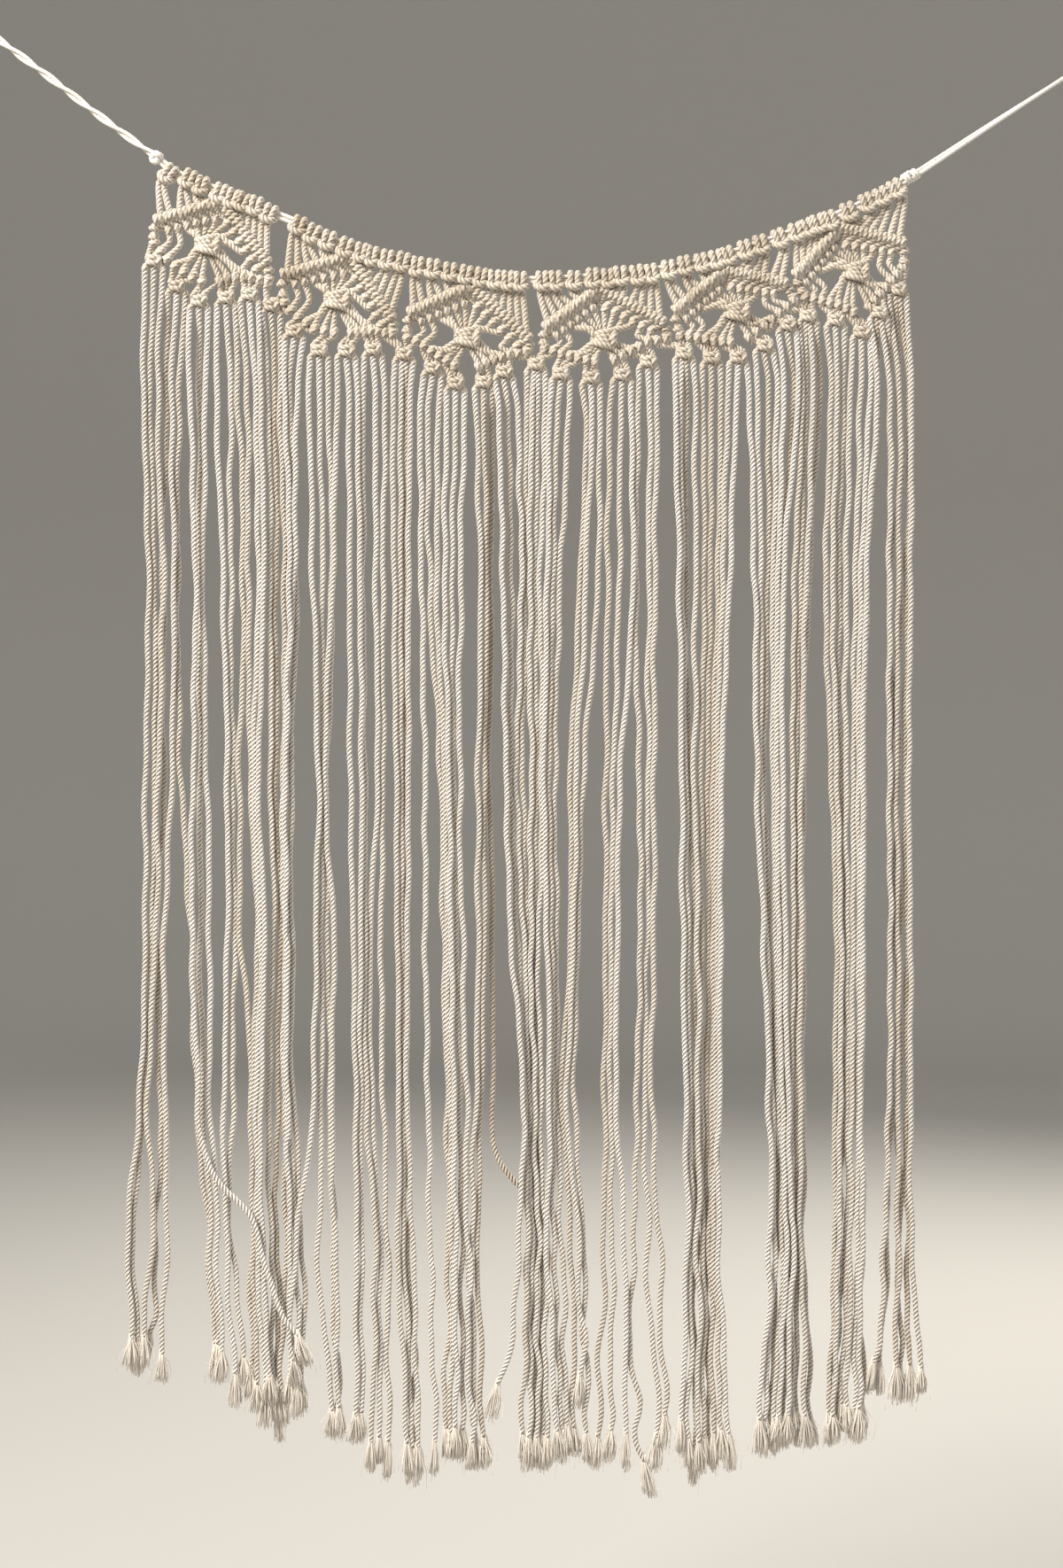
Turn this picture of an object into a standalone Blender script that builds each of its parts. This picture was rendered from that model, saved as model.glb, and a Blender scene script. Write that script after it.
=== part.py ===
"""Macrame wall hanging: a doubled rope, six knotted motifs and a fringe.

Frame: X to the right, -Y towards the viewer, +Z up. The origin is on the rope's middle line at the
low point of its sag, which is the middle of the band's top edge. The tables are in millimetres, with
heights counted from the middle of the line between the two hooks that hold the rope's end loops.
The meshes are in metres.
"""
import math
from collections import namedtuple

import bmesh
import bpy
from mathutils import Vector

# ---- driving dimensions, millimetres ------------------------
MM = 0.001
HOOKS_ABOVE = 214.3  # the hooks' line, above the low point of the rope
GAP = 0.3            # left between two solids that touch
CORD = 5.0           # three-strand cotton cord of the motifs and the fringe
ROPE = 7.0           # doubled hanging rope, over both of its strands
ROPE_STEP = 21.0     # spacing of the points along the rope
ROPE_SIDES = 2       # bevel resolution of the rope's tube

HEAD_ABOVE = 6.3     # a lark's head reaches this far above the rope's middle
HEAD_BELOW = 9.5     # and its bar this far below it
HEAD_DEEP = ROPE + 1.2 * CORD        # the cord lies pressed flat in front of the rope and behind it
PANEL_DEEP = 0.92 * CORD             # the open cords between two rows of knots lie one cord deep
ROOF_WIDE, ROOF_DEEP = 8.0, 2.2 * CORD    # tight row of double half hitches
INNER_WIDE, INNER_DEEP = 8.0, 9.4    # the looser row below it
INNER_DROP = 8.5                     # from the roof's middle line to the inner row's
SIDE_WIDE, SIDE_DEEP = 7.0, 9.0      # cords that run down from a corner of the roof
VEE_WIDE, VEE_DEEP = 7.5, 8.6        # row of hitches above the bottom knots
VEE_RISE = 10.5                      # from the bottom knots up to that row
LEAST_MITRE = 0.6                    # keeps a row's sharp turn from growing a long corner
CENTRE_WIDE, CENTRE_TALL, CENTRE_DEEP = 27.0, 18.0, 3 * CORD    # large square knot of a motif
KNOT_WIDE, KNOT_TALL, KNOT_DEEP = 12.6, 10.5, 10.8              # small square knot of the bottom row
EDGE_RISE = 3.5                      # the open cords end this far above the middle of a bottom knot
EDGE_INSET = 1.0                     # and this far inside the middle line of the side cords

WINDOW_OUT = 24.0                    # middle of a window, out from the middle of the centre knot
WINDOW_WIDE, WINDOW_TALL = 13.0, 15.0

SPINE_TALL, SPINE_DEEP = 6.0, 5.0    # the fringe's top edge
TOOTH_HALF, TOOTH_DEEP = 6.4, 9.0    # one lock of three or four cords
TOOTH_GAP = 1.4                      # least space between two locks
TOOTH_SWING = 2.0                    # how far a lock strays forward or back
SWING_BY_LOCK, SWING_BY_STEP = 1.9, 0.8    # the stray's phase, radians from one lock or height to the next
TUFT_LONG = 24.0                     # frayed tip

EYE_LONG, EYE_WIDE, EYE_CORD = 34.0, 22.0, 5.0    # tied loop at a rope end, over the middle of its cord
END_KNOT = 13.0                                   # the knot that closes the loop
END_KNOT_OUT = 38.0                               # from the hook to that knot
STOP_KNOT = 13.0                                  # overhand knot at the band's left end
WRAP_KNOT = 10.0                                  # each of the two small knots at its right end

# ---- the rope's route, hook to hook, as (x, z) ------------------------
HOOK_LEFT = (-490.0, 18.0)
HOOK_RIGHT = (490.0, -18.0)
STOP_LEFT = (-317.0, -111.0)
STOPS_RIGHT = ((317.0, -129.5), (326.0, -124.5))
ROUTE = (
    (-459.6, -4.7), (-405.0, -45.5), (-360.0, -80.0), STOP_LEFT, (-304.0, -122.0), (-279.0, -133.0),
    (-253.0, -143.5), (-221.0, -157.0), (-196.5, -167.0), (-172.0, -179.0), (-144.0, -189.5),
    (-109.0, -198.0), (-83.0, -204.0), (-55.5, -209.0), (-31.5, -212.5), (-10.0, -214.5), (20.0, -214.0),
    (52.0, -212.0), (89.0, -208.5), (116.0, -204.5), (144.0, -199.0), (166.0, -193.0), (193.5, -184.0),
    (223.5, -173.0), (242.0, -166.0), (268.0, -155.5), (295.5, -142.5), STOPS_RIGHT[0], STOPS_RIGHT[1],
    (390.0, -82.5), (458.2, -38.8),
)

# ---- motifs ------------------------
# head_from and head_to are along x, the named points are (x, z), and tilt is in degrees
Motif = namedtuple("Motif", "name head_from head_to peak left left_foot right right_foot centre tilt")
MOTIFS = (
    Motif("motif_1", -308, -215, (-261, -148), (-319, -163), (-322, -186),
          (-225, -195), (-226, -208), (-274, -184), -18),
    Motif("motif_2", -204, -104, (-153, -192), (-212, -206), (-209, -236),
          (-119, -236), (-118, -252), (-165, -230), -17),
    Motif("motif_3", -101, -5, (-52, -218), (-105, -241), (-104, -260),
          (-5, -253), (-3, -270), (-54, -263), -5),
    Motif("motif_4", 3, 107, (56, -218), (10, -257), (18, -276),
          (112, -247), (112, -264), (60, -264), 5),
    Motif("motif_5", 109.5, 214.5, (161, -203), (122, -244), (124, -262),
          (216, -218), (216, -236), (172, -242), 15),
    Motif("motif_6", 217.5, 309, (261, -168), (225, -214), (227, -231),
          (316, -184), (318, -205), (274, -207), 17),
)

# ---- bottom row of square knots ------------------------
# the motif that each belongs to, then its middle
Knot = namedtuple("Knot", "motif x z")
KNOTS = (
    Knot("motif_1", -320, -198), Knot("motif_1", -301, -220), Knot("motif_1", -282, -232),
    Knot("motif_1", -259, -230), Knot("motif_1", -239, -227), Knot("motif_1", -221, -236),
    Knot("motif_2", -201, -258), Knot("motif_2", -180, -274), Knot("motif_2", -157, -275),
    Knot("motif_2", -134, -273), Knot("motif_2", -108, -278),
    Knot("motif_3", -86, -289), Knot("motif_3", -66, -303), Knot("motif_3", -42, -301),
    Knot("motif_3", -22, -292), Knot("motif_3", 4, -286),
    Knot("motif_4", 24, -294), Knot("motif_4", 50, -297), Knot("motif_4", 77, -294),
    Knot("motif_4", 98, -282),
    Knot("motif_5", 128, -277), Knot("motif_5", 154, -280), Knot("motif_5", 175, -281),
    Knot("motif_5", 198, -269), Knot("motif_5", 217, -252),
    Knot("motif_6", 236, -245), Knot("motif_6", 258, -249), Knot("motif_6", 280, -258),
    Knot("motif_6", 296, -240), Knot("motif_6", 315, -220),
)

# ---- fringe ------------------------
# the middle of each lock: x at the top edge and at each height of LEVELS, then its tip
LEVELS = (-472, -652, -900, -1028)
Lock = namedtuple("Lock", "top upper middle lower foot tip_x tip_z")
LOCKS = (
    Lock(-320, -321, -322, -328, -338, -334, -1129),
    Lock(-301, -304, -306, -313, -318, -316, -1140),
    Lock(-282, -280, -280, -280, -272, -266, -1138),
    Lock(-259, -257, -254, -262, -256, -251, -1159),
    Lock(-239, -240, -234, -235, -237, -236, -1140),
    Lock(-220, -221, -221, -223, -223, -220, -1178),
    Lock(-201, -205, -209, -209, -207, -202, -1170),
    Lock(-180, -180, -177, -181, -189, -187, -1148),
    Lock(-157, -153, -151, -147, -146, -148, -1189),
    Lock(-134, -132, -130, -131, -129, -130, -1208),
    Lock(-108, -111, -110, -109, -109, -104, -1219),
    Lock(-86, -88, -90, -88, -87, -84, -1215),
    Lock(-66, -69, -68, -67, -68, -68, -1208),
    Lock(-42, -42, -42, -44, -50, -50, -1215),
    Lock(-22, -21, -19, -22, -29, -28, -1166),
    Lock(4, -2, -1, -2, 2, 2, -1214),
    Lock(24, 18, 16, 16, 19, 25, -1208),
    Lock(50, 42, 38, 35, 38, 44, -1196),
    Lock(77, 63, 63, 63, 63, 62, -1211),
    Lock(94, 84, 83, 80, 80, 80, -1211),
    Lock(108, 102, 101, 100, 99, 100, -1226),
    Lock(128, 127, 129, 134, 135, 132, -1215),
    Lock(154, 146, 145, 148, 151, 149, -1215),
    Lock(175, 164, 160, 161, 166, 166, -1211),
    Lock(198, 192, 194, 199, 200, 196, -1200),
    Lock(217, 208, 209, 213, 214, 210, -1200),
    Lock(236, 228, 226, 227, 227, 226, -1196),
    Lock(258, 252, 254, 252, 252, 248, -1192),
    Lock(280, 266, 267, 267, 267, 264, -1189),
    Lock(296, 281, 282, 282, 282, 279, -1189),
    Lock(311, 302, 303, 304, 302, 296, -1151),
    Lock(318, 316, 317, 317, 317, 314, -1155),
)

COTTON = (0.80, 0.72, 0.58, 1.0)
ROPE_COTTON = (0.82, 0.75, 0.63, 1.0)
COTTON_ROUGHNESS = 0.9


# ---- materials and objects ------------------------
def cotton(name, colour):
    material = bpy.data.materials.new(name)
    material.use_nodes = True
    shader = material.node_tree.nodes["Principled BSDF"]
    shader.inputs["Base Color"].default_value = colour
    shader.inputs["Roughness"].default_value = COTTON_ROUGHNESS
    shader.inputs["Metallic"].default_value = 0.0
    return material


def add_object(name, mesh):
    piece = bpy.data.objects.new(name, mesh)
    bpy.context.scene.collection.objects.link(piece)
    return piece


def evaluated_mesh(piece):
    graph = bpy.context.evaluated_depsgraph_get()
    return bpy.data.meshes.new_from_object(piece.evaluated_get(graph), depsgraph=graph)


def combine(piece, other, operation):
    """Unite piece with other, or cut other out of it, and use other up."""
    modifier = piece.modifiers.new("combine", "BOOLEAN")
    modifier.operation = operation
    modifier.solver = "EXACT"
    modifier.object = other
    piece.data = evaluated_mesh(piece)
    piece.modifiers.clear()
    bpy.data.objects.remove(other)


def finish(piece, origin, material, parent):
    """Put the piece's own origin at origin (x, z), in millimetres, and give it its finish."""
    place = Vector((origin[0] * MM, 0.0, origin[1] * MM))
    piece.data.transform(piece.matrix_world)
    for vertex in piece.data.vertices:
        vertex.co -= place
    piece.location = place
    piece.parent = parent
    piece.data.materials.clear()
    piece.data.materials.append(material)
    piece.data.shade_smooth()
    piece.data.set_sharp_from_angle(angle=math.radians(40))


# ---- solids made of rings of points ------------------------
def loft(name, rings, closed=False):
    """One closed body through rings of equal count, in millimetres."""
    shell = bmesh.new()
    rows = [[shell.verts.new(Vector(point) * MM) for point in ring] for ring in rings]
    pairs = list(zip(rows, rows[1:]))
    if closed:
        pairs.append((rows[-1], rows[0]))
    else:
        shell.faces.new(rows[0])
        shell.faces.new(rows[-1])
    count = len(rows[0])
    for low, high in pairs:
        for i in range(count):
            j = (i + 1) % count
            shell.faces.new((low[i], low[j], high[j], high[i]))
    bmesh.ops.recalc_face_normals(shell, faces=shell.faces)
    mesh = bpy.data.meshes.new(name)
    shell.to_mesh(mesh)
    shell.free()
    return add_object(name, mesh)


def section(half_wide, half_deep):
    """A six-sided section, flat at front and back and ridged at its sides, as (across, y) pairs."""
    corners = ((1, 0), (0.5, 1), (-0.5, 1), (-1, 0), (-0.5, -1), (0.5, -1))
    return [(a * half_wide, y * half_deep) for a, y in corners]


def bar(name, path, wide, deep):
    """A rounded bar along a path of (x, z) points."""
    points = [Vector(point) for point in path]
    runs = [(there - here).normalized() for here, there in zip(points, points[1:])]
    rings = []
    for point, before, after in zip(points, [runs[0]] + runs, runs + [runs[-1]]):
        along = (before + after).normalized()
        across = Vector((along.y, -along.x)) / max(LEAST_MITRE, along.dot(after))
        rings.append([(point.x + across.x * a, y, point.y + across.y * a)
                      for a, y in section(wide / 2, deep / 2)])
    return loft(name, rings)


def barrel(name, middle, wide, tall, deep, tilt=0.0):
    """A plump knot: a short bar with drawn-in ends, turned by tilt degrees."""
    turn = math.radians(tilt)
    along = Vector((math.cos(turn), math.sin(turn)))
    across = Vector((-along.y, along.x))
    rings = []
    for out, plump in ((-0.5, 0.55), (-0.3, 1.0), (0.3, 1.0), (0.5, 0.55)):
        centre = Vector(middle) + along * (out * wide)
        rings.append([(centre.x + across.x * a, y, centre.y + across.y * a)
                      for a, y in section(tall / 2 * plump, deep / 2 * plump)])
    return loft(name, rings)


def panel(name, outline, deep):
    """A flat sheet with the outline (x, z), lying on the X-Z plane."""
    return loft(name, [[(x, y, z) for x, z in outline] for y in (-deep / 2, deep / 2)])


# ---- hanging rope ------------------------
def smooth_route():
    """The rope's middle line, as a Catmull-Rom curve through ROUTE cut at every ROPE_STEP."""
    fine = 12
    ends = [Vector(point) for point in ROUTE]
    ends = [2 * ends[0] - ends[1]] + ends + [2 * ends[-1] - ends[-2]]
    dense = []
    for a, b, c, d in zip(ends, ends[1:], ends[2:], ends[3:]):
        for i in range(fine):
            t = i / fine
            dense.append(0.5 * (2 * b + (c - a) * t + (2 * a - 5 * b + 4 * c - d) * t ** 2
                                + (3 * b - 3 * c + d - a) * t ** 3))
    dense.append(ends[-2])
    walked = [0.0]
    for here, there in zip(dense, dense[1:]):
        walked.append(walked[-1] + (there - here).length)
    count = round(walked[-1] / ROPE_STEP)
    route = []
    piece = 0
    for i in range(count + 1):
        target = walked[-1] * i / count
        while piece < len(dense) - 2 and walked[piece + 1] < target:
            piece += 1
        share = (target - walked[piece]) / (walked[piece + 1] - walked[piece])
        route.append(dense[piece].lerp(dense[piece + 1], min(share, 1.0)))
    return route


def height_on(route, x):
    """The height of a left-to-right route at x."""
    for here, there in zip(route, route[1:]):
        if there.x >= x:
            return here.y + (there.y - here.y) * (x - here.x) / (there.x - here.x)
    return route[-1].y


def rope_tube(name, route, radius):
    curve = bpy.data.curves.new(name, "CURVE")
    curve.dimensions = "3D"
    curve.bevel_depth = radius * MM
    curve.bevel_resolution = ROPE_SIDES
    curve.use_fill_caps = True
    line = curve.splines.new("POLY")
    line.points.add(len(route) - 1)
    for point, place in zip(line.points, route):
        point.co = (place.x * MM, 0.0, place.y * MM, 1.0)
    guide = add_object(name + "_line", curve)
    tube = add_object(name, evaluated_mesh(guide))
    bpy.data.objects.remove(guide)
    return tube


def end_loop(name, hook, towards):
    """The tied loop that hangs on a hook, and the knot that closes it."""
    along = (Vector(towards) - Vector(hook)).normalized()
    across = Vector((-along.y, along.x))
    middle = Vector(hook) + along * (EYE_LONG / 2)
    steps, sides = 14, 6
    rings = []
    for i in range(steps):
        angle = 2 * math.pi * i / steps
        outward = along * math.cos(angle) + across * math.sin(angle)
        spot = middle + along * (math.cos(angle) * EYE_LONG / 2) + across * (math.sin(angle) * EYE_WIDE / 2)
        ring = []
        for j in range(sides):
            turn = 2 * math.pi * j / sides
            out = outward * (math.cos(turn) * EYE_CORD / 2)
            ring.append((spot.x + out.x, math.sin(turn) * EYE_CORD / 2, spot.y + out.y))
        rings.append(ring)
    eye = loft(name, rings, closed=True)
    knot_at = Vector(hook) + along * END_KNOT_OUT
    tilt = math.degrees(math.atan2(along.y, along.x))
    combine(eye, barrel("knot", knot_at, END_KNOT, END_KNOT, END_KNOT, tilt), "UNION")
    return eye


def hanging_rope(route):
    rope = rope_tube("hanging_rope", route, ROPE / 2)
    combine(rope, barrel("stop", STOP_LEFT, STOP_KNOT, STOP_KNOT, STOP_KNOT, -35), "UNION")
    for place in STOPS_RIGHT:
        combine(rope, barrel("stop", place, WRAP_KNOT * 0.9, WRAP_KNOT, WRAP_KNOT, 33), "UNION")
    combine(rope, end_loop("loop", HOOK_LEFT, ROUTE[0]), "UNION")
    combine(rope, end_loop("loop", HOOK_RIGHT, ROUTE[-1]), "UNION")
    return rope


# ---- motifs ------------------------
def lowered(path, drop, tilt):
    """The path moved down across a row that leans by tilt degrees."""
    turn = math.radians(tilt)
    return [(x + math.sin(turn) * drop, z - math.cos(turn) * drop) for x, z in path]


def between(start, end, share):
    return tuple(a + (b - a) * share for a, b in zip(start, end))


def motif_pieces(motif, knots, route):
    """The knotted rows that stand proud of the motif's open cords."""
    steps = 4
    heads = [motif.head_from + (motif.head_to - motif.head_from) * i / steps for i in range(steps + 1)]
    drop = (HEAD_BELOW - HEAD_ABOVE) / 2
    heading = [(x, height_on(route, x) - drop) for x in heads]
    yield bar("heading", heading, HEAD_ABOVE + HEAD_BELOW, HEAD_DEEP)
    roof = [motif.left, motif.peak, motif.right]
    yield bar("roof", roof, ROOF_WIDE, ROOF_DEEP)
    inner = [between(motif.left, motif.peak, 0.12), motif.peak, between(motif.peak, motif.right, 0.88)]
    yield bar("inner", lowered(inner, INNER_DROP, motif.tilt), INNER_WIDE, INNER_DEEP)
    yield bar("left_side", [motif.left, motif.left_foot, (knots[0].x, knots[0].z + KNOT_TALL / 4)],
              SIDE_WIDE, SIDE_DEEP)
    yield bar("right_side", [motif.right, motif.right_foot, (knots[-1].x, knots[-1].z + KNOT_TALL / 4)],
              SIDE_WIDE, SIDE_DEEP - GAP)
    vee = [motif.left_foot] + [(knot.x, knot.z + VEE_RISE) for knot in knots[1:-1]] + [motif.right_foot]
    yield bar("vee", vee, VEE_WIDE, VEE_DEEP)
    yield barrel("centre", motif.centre, CENTRE_WIDE, CENTRE_TALL, CENTRE_DEEP, motif.tilt / 2)
    for knot in knots:
        yield barrel("knot", (knot.x, knot.z), KNOT_WIDE, KNOT_TALL, KNOT_DEEP)


def window(motif, side):
    """The open space beside the centre knot, as a cutter; side is -1 for left and 1 for right."""
    turn = math.radians(motif.tilt)
    x = motif.centre[0] + side * WINDOW_OUT * math.cos(turn)
    z = motif.centre[1] + side * WINDOW_OUT * math.sin(turn)
    corners = ((-0.5, 0.0), (-0.2, 0.5), (0.2, 0.5), (0.5, 0.0), (0.2, -0.5), (-0.2, -0.5))
    outline = [(x + a * WINDOW_WIDE, z + b * WINDOW_TALL) for a, b in corners]
    return panel("window", outline, HEAD_DEEP * 2)


def motif_solid(motif, route):
    knots = [knot for knot in KNOTS if knot.motif == motif.name]
    tops = (motif.head_from + EDGE_INSET, motif.head_to - EDGE_INSET, (motif.head_from + motif.head_to) / 2)
    left_top, right_top, middle_top = [(x, height_on(route, x)) for x in tops]
    outline = [left_top] + [(x + EDGE_INSET, z) for x, z in (motif.left, motif.left_foot)]
    outline += [(knot.x, knot.z + EDGE_RISE) for knot in knots]
    outline += [(x - EDGE_INSET, z) for x, z in (motif.right_foot, motif.right)] + [right_top, middle_top]
    solid = panel(motif.name, outline, PANEL_DEEP)
    for piece in motif_pieces(motif, knots, route):
        combine(solid, piece, "UNION")
    combine(solid, rope_tube("channel", route, ROPE / 2 + GAP), "DIFFERENCE")
    for side in (-1, 1):
        combine(solid, window(motif, side), "DIFFERENCE")
    return solid


# ---- fringe ------------------------
def spine_edge():
    """The fringe's top edge: flat under each knot, stepped between two knots."""
    edge = []
    for knot in KNOTS:
        under = knot.z - KNOT_TALL / 2 - GAP
        edge += [(knot.x - KNOT_WIDE / 2 - GAP, under), (knot.x + KNOT_WIDE / 2 + GAP, under)]
    return edge


def lock_sides(column, index):
    """Left and right side of a lock in one column of LOCKS, kept apart from its neighbours."""
    here = column[index]
    left = right = TOOTH_HALF
    if index:
        left = min(left, (here - column[index - 1] - TOOTH_GAP) / 2)
    if index + 1 < len(column):
        right = min(right, (column[index + 1] - here - TOOTH_GAP) / 2)
    return here - left, here + right


def lock_solid(index, top_edge):
    """One tooth of the comb: a lock of cords that ends in frayed tips."""
    lock = LOCKS[index]
    heights = [height_on(top_edge, lock.top) - SPINE_TALL / 2] + list(LEVELS)
    columns = [[row[i] for row in LOCKS] for i in range(len(heights))]
    tips = [row.tip_x for row in LOCKS]
    sections = [lock_sides(column, index) + (height,) for column, height in zip(columns, heights)]
    left, right = lock_sides(tips, index)
    sections.append((left, right, lock.tip_z + TUFT_LONG))
    flare = TOOTH_GAP / 4
    sections.append((left - flare, right + flare, lock.tip_z))
    rings = []
    for step, (left, right, z) in enumerate(sections):
        phase = SWING_BY_LOCK * index + SWING_BY_STEP * step
        stray = TOOTH_SWING * math.sin(phase) if step else 0.0
        middle, half = (left + right) / 2, (right - left) / 2
        rings.append([(middle + a, stray + y, z) for a, y in section(half, TOOTH_DEEP / 2)])
    return loft("lock", rings)


def fringe_comb():
    edge = [Vector(point) for point in spine_edge()]
    back = SPINE_DEEP / 2
    corners = ((-back, 0), (back, 0), (back, SPINE_TALL), (-back, SPINE_TALL))
    comb = loft("fringe", [[(point.x, y, point.y - fall) for y, fall in corners] for point in edge])
    for index in range(len(LOCKS)):
        combine(comb, lock_solid(index, edge), "UNION")
    return comb


# ---- the whole hanging ------------------------
def build():
    for old in list(bpy.data.objects):
        bpy.data.objects.remove(old)
    hooks_line = add_object("hooks_line", None)
    hooks_line.location = (0.0, 0.0, HOOKS_ABOVE * MM)
    cord_finish = cotton("natural_cotton", COTTON)
    rope_finish = cotton("rope_cotton", ROPE_COTTON)
    route = smooth_route()
    finish(hanging_rope(route), (0, 0), rope_finish, hooks_line)
    for motif in MOTIFS:
        finish(motif_solid(motif, route), motif.centre, cord_finish, hooks_line)
    finish(fringe_comb(), (0, LEVELS[0]), cord_finish, hooks_line)


build()
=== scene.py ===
# %% [markdown]
# # A wide macrame wall hanging
#
# A doubled cotton rope hangs in a shallow curve between two hooks. Forty-eight long cords are
# folded over it, each in a lark's head, and every sixteen strands are tied into one pointed
# motif. Below the motifs the ninety-six strands hang free and end in frayed tufts.
#
# All of it is cord, so this lesson makes one thing well, a twisted cord along a line of points,
# and spends the rest on where those lines run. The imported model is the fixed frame.

import math

import bpy
import numpy as np
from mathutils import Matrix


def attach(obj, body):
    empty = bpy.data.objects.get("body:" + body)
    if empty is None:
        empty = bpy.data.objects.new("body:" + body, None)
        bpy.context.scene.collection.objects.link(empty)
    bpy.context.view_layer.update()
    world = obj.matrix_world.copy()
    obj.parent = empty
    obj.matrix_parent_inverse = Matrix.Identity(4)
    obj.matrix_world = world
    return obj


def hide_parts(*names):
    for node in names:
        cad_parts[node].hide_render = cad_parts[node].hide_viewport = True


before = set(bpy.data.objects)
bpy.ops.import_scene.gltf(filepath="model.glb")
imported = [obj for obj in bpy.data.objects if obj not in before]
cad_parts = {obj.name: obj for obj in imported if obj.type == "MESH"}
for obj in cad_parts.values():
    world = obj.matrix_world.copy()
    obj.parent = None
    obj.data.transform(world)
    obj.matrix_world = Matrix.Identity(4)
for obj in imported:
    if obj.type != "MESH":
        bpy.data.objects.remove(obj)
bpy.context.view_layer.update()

# %% [markdown]
# ## Where a point of the photograph is
#
# One pixel of the picture is taken as 0.75 mm of the hanging. The picture is 1200 pixels wide, so
# its column 600 is x = 0. Lengths stay in millimetres until a piece is made, because a cord, a knot
# and a tuft are all easier to think about that way. Minus y is towards the viewer.

# %% The picture's scale, and small helpers for points
MM = 0.001
PIXEL = 0.75
PICTURE_WIDE, PICTURE_TALL = 1200, 1770
MIDDLE_COLUMN = PICTURE_WIDE / 2
TOP_EDGE = 236.8
TOWARDS_VIEWER = np.array([0.0, -1.0, 0.0])


def spot(column, row, depth=0.0):
    """The place in millimetres of a point of the photograph, whose top edge is at TOP_EDGE."""
    return np.array([(column - MIDDLE_COLUMN) * PIXEL, depth, TOP_EDGE - row * PIXEL])


def unit(v):
    """The same direction, one long."""
    return np.asarray(v, float) / np.linalg.norm(v)


def thick(points, share):
    """Points with a fourth number each: how thick the cord is there, 1 for its full size."""
    return [np.append(np.asarray(p, float)[:3], share) for p in points]


print("the photograph's corners:", spot(0, 0), spot(PICTURE_WIDE, PICTURE_TALL))

# %% [markdown]
# ## The camera
#
# The photograph is taken face on, with its long side upright. How far away the camera was isn't
# known, so a common 60 mm lens is taken. The field is 0.900 by 1.3275 m at the hanging, which that
# lens on a 36 mm long side sees from 2.2125 m.

# %% Camera
FIELD_TALL = PICTURE_TALL * PIXEL * MM
LENS = 60.0
SENSOR = 36.0
FAR_AWAY = FIELD_TALL * LENS / SENSOR
MIDDLE_HEIGHT = (TOP_EDGE - PICTURE_TALL / 2 * PIXEL) * MM

bpy.ops.object.select_all(action="DESELECT")
bpy.ops.object.camera_add(location=(0, -FAR_AWAY, MIDDLE_HEIGHT), rotation=(math.pi / 2, 0, 0))
camera = bpy.context.object
camera.name = "camera"
camera.data.lens = LENS
camera.data.sensor_width = SENSOR
camera.data.dof.use_dof = False
bpy.context.scene.camera = camera
print("camera", round(FAR_AWAY, 4), "m away, at height", round(MIDDLE_HEIGHT, 4))

# %% [markdown]
# ## One cord
#
# A macrame cord is three plies twisted together. A modeller could wind three tubes round each
# other, but a hundred metres of that is millions of faces. Here a curve follows the cord, its bevel
# is a small closed profile with three ridges and three valleys, and the curve's tilt grows by a
# full turn for each lay of the twist. Blender's bevel then twists the profile into the plies.
# A line of a few points is first rounded, and then divided into equal steps.

# %% A smooth line through a few points, in equal steps
PULL = 2.0
FEWEST_STEPS = 3
LEAST_GAP = 1e-6


def smooth_line(points, step):
    """A rounded line through points of x, y, z and thickness, with its points a step apart."""
    p = np.array([q if len(q) == 4 else np.append(q, 1.0) for q in points], float)
    gap = np.maximum(np.linalg.norm(np.diff(p[:, :3], axis=0), axis=1), LEAST_GAP)[:, None]
    slope = np.diff(p, axis=0) / gap
    lean = np.empty_like(p)
    lean[0], lean[-1] = slope[0], slope[-1]
    lean[1:-1] = (slope[:-1] * gap[1:] + slope[1:] * gap[:-1]) / (gap[:-1] + gap[1:])
    # a long stretch next to a short one would swing out too far, so its pull is limited
    pull = np.full(len(p), np.inf)
    pull[1:-1] = PULL * np.minimum(gap[:-1, 0], gap[1:, 0])
    parts = []
    for i, d in enumerate(gap[:, 0]):
        t = np.linspace(0, 1, max(FEWEST_STEPS, int(d / step * 2)) + 1)[:-1, None]
        parts.append(
            (2 * t**3 - 3 * t**2 + 1) * p[i]
            + (t**3 - 2 * t**2 + t) * min(d, pull[i]) * lean[i]
            + (3 * t**2 - 2 * t**3) * p[i + 1]
            + (t**3 - t**2) * min(d, pull[i + 1]) * lean[i + 1]
        )
    line = np.vstack(parts + [p[-1:]])
    run = run_along(line)
    steps = np.linspace(0, run[-1], max(FEWEST_STEPS, int(round(run[-1] / step)) + 1))
    return np.stack([np.interp(steps, run, line[:, k]) for k in range(4)], axis=1)


def run_along(line):
    """How far along a line each of its points is."""
    return np.concatenate([[0], np.cumsum(np.linalg.norm(np.diff(line[:, :3], axis=0), axis=1))])


def long(line):
    """The length of a line of points."""
    return float(np.linalg.norm(np.diff(np.asarray(line)[:, :3], axis=0), axis=1).sum())


bend = smooth_line([(0, 0, 0), (5, 0, 5), (0, 0, 10)], 1.0)
print("a bend through 3 points is", round(long(bend), 1), "mm long, in", len(bend), "points")

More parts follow.
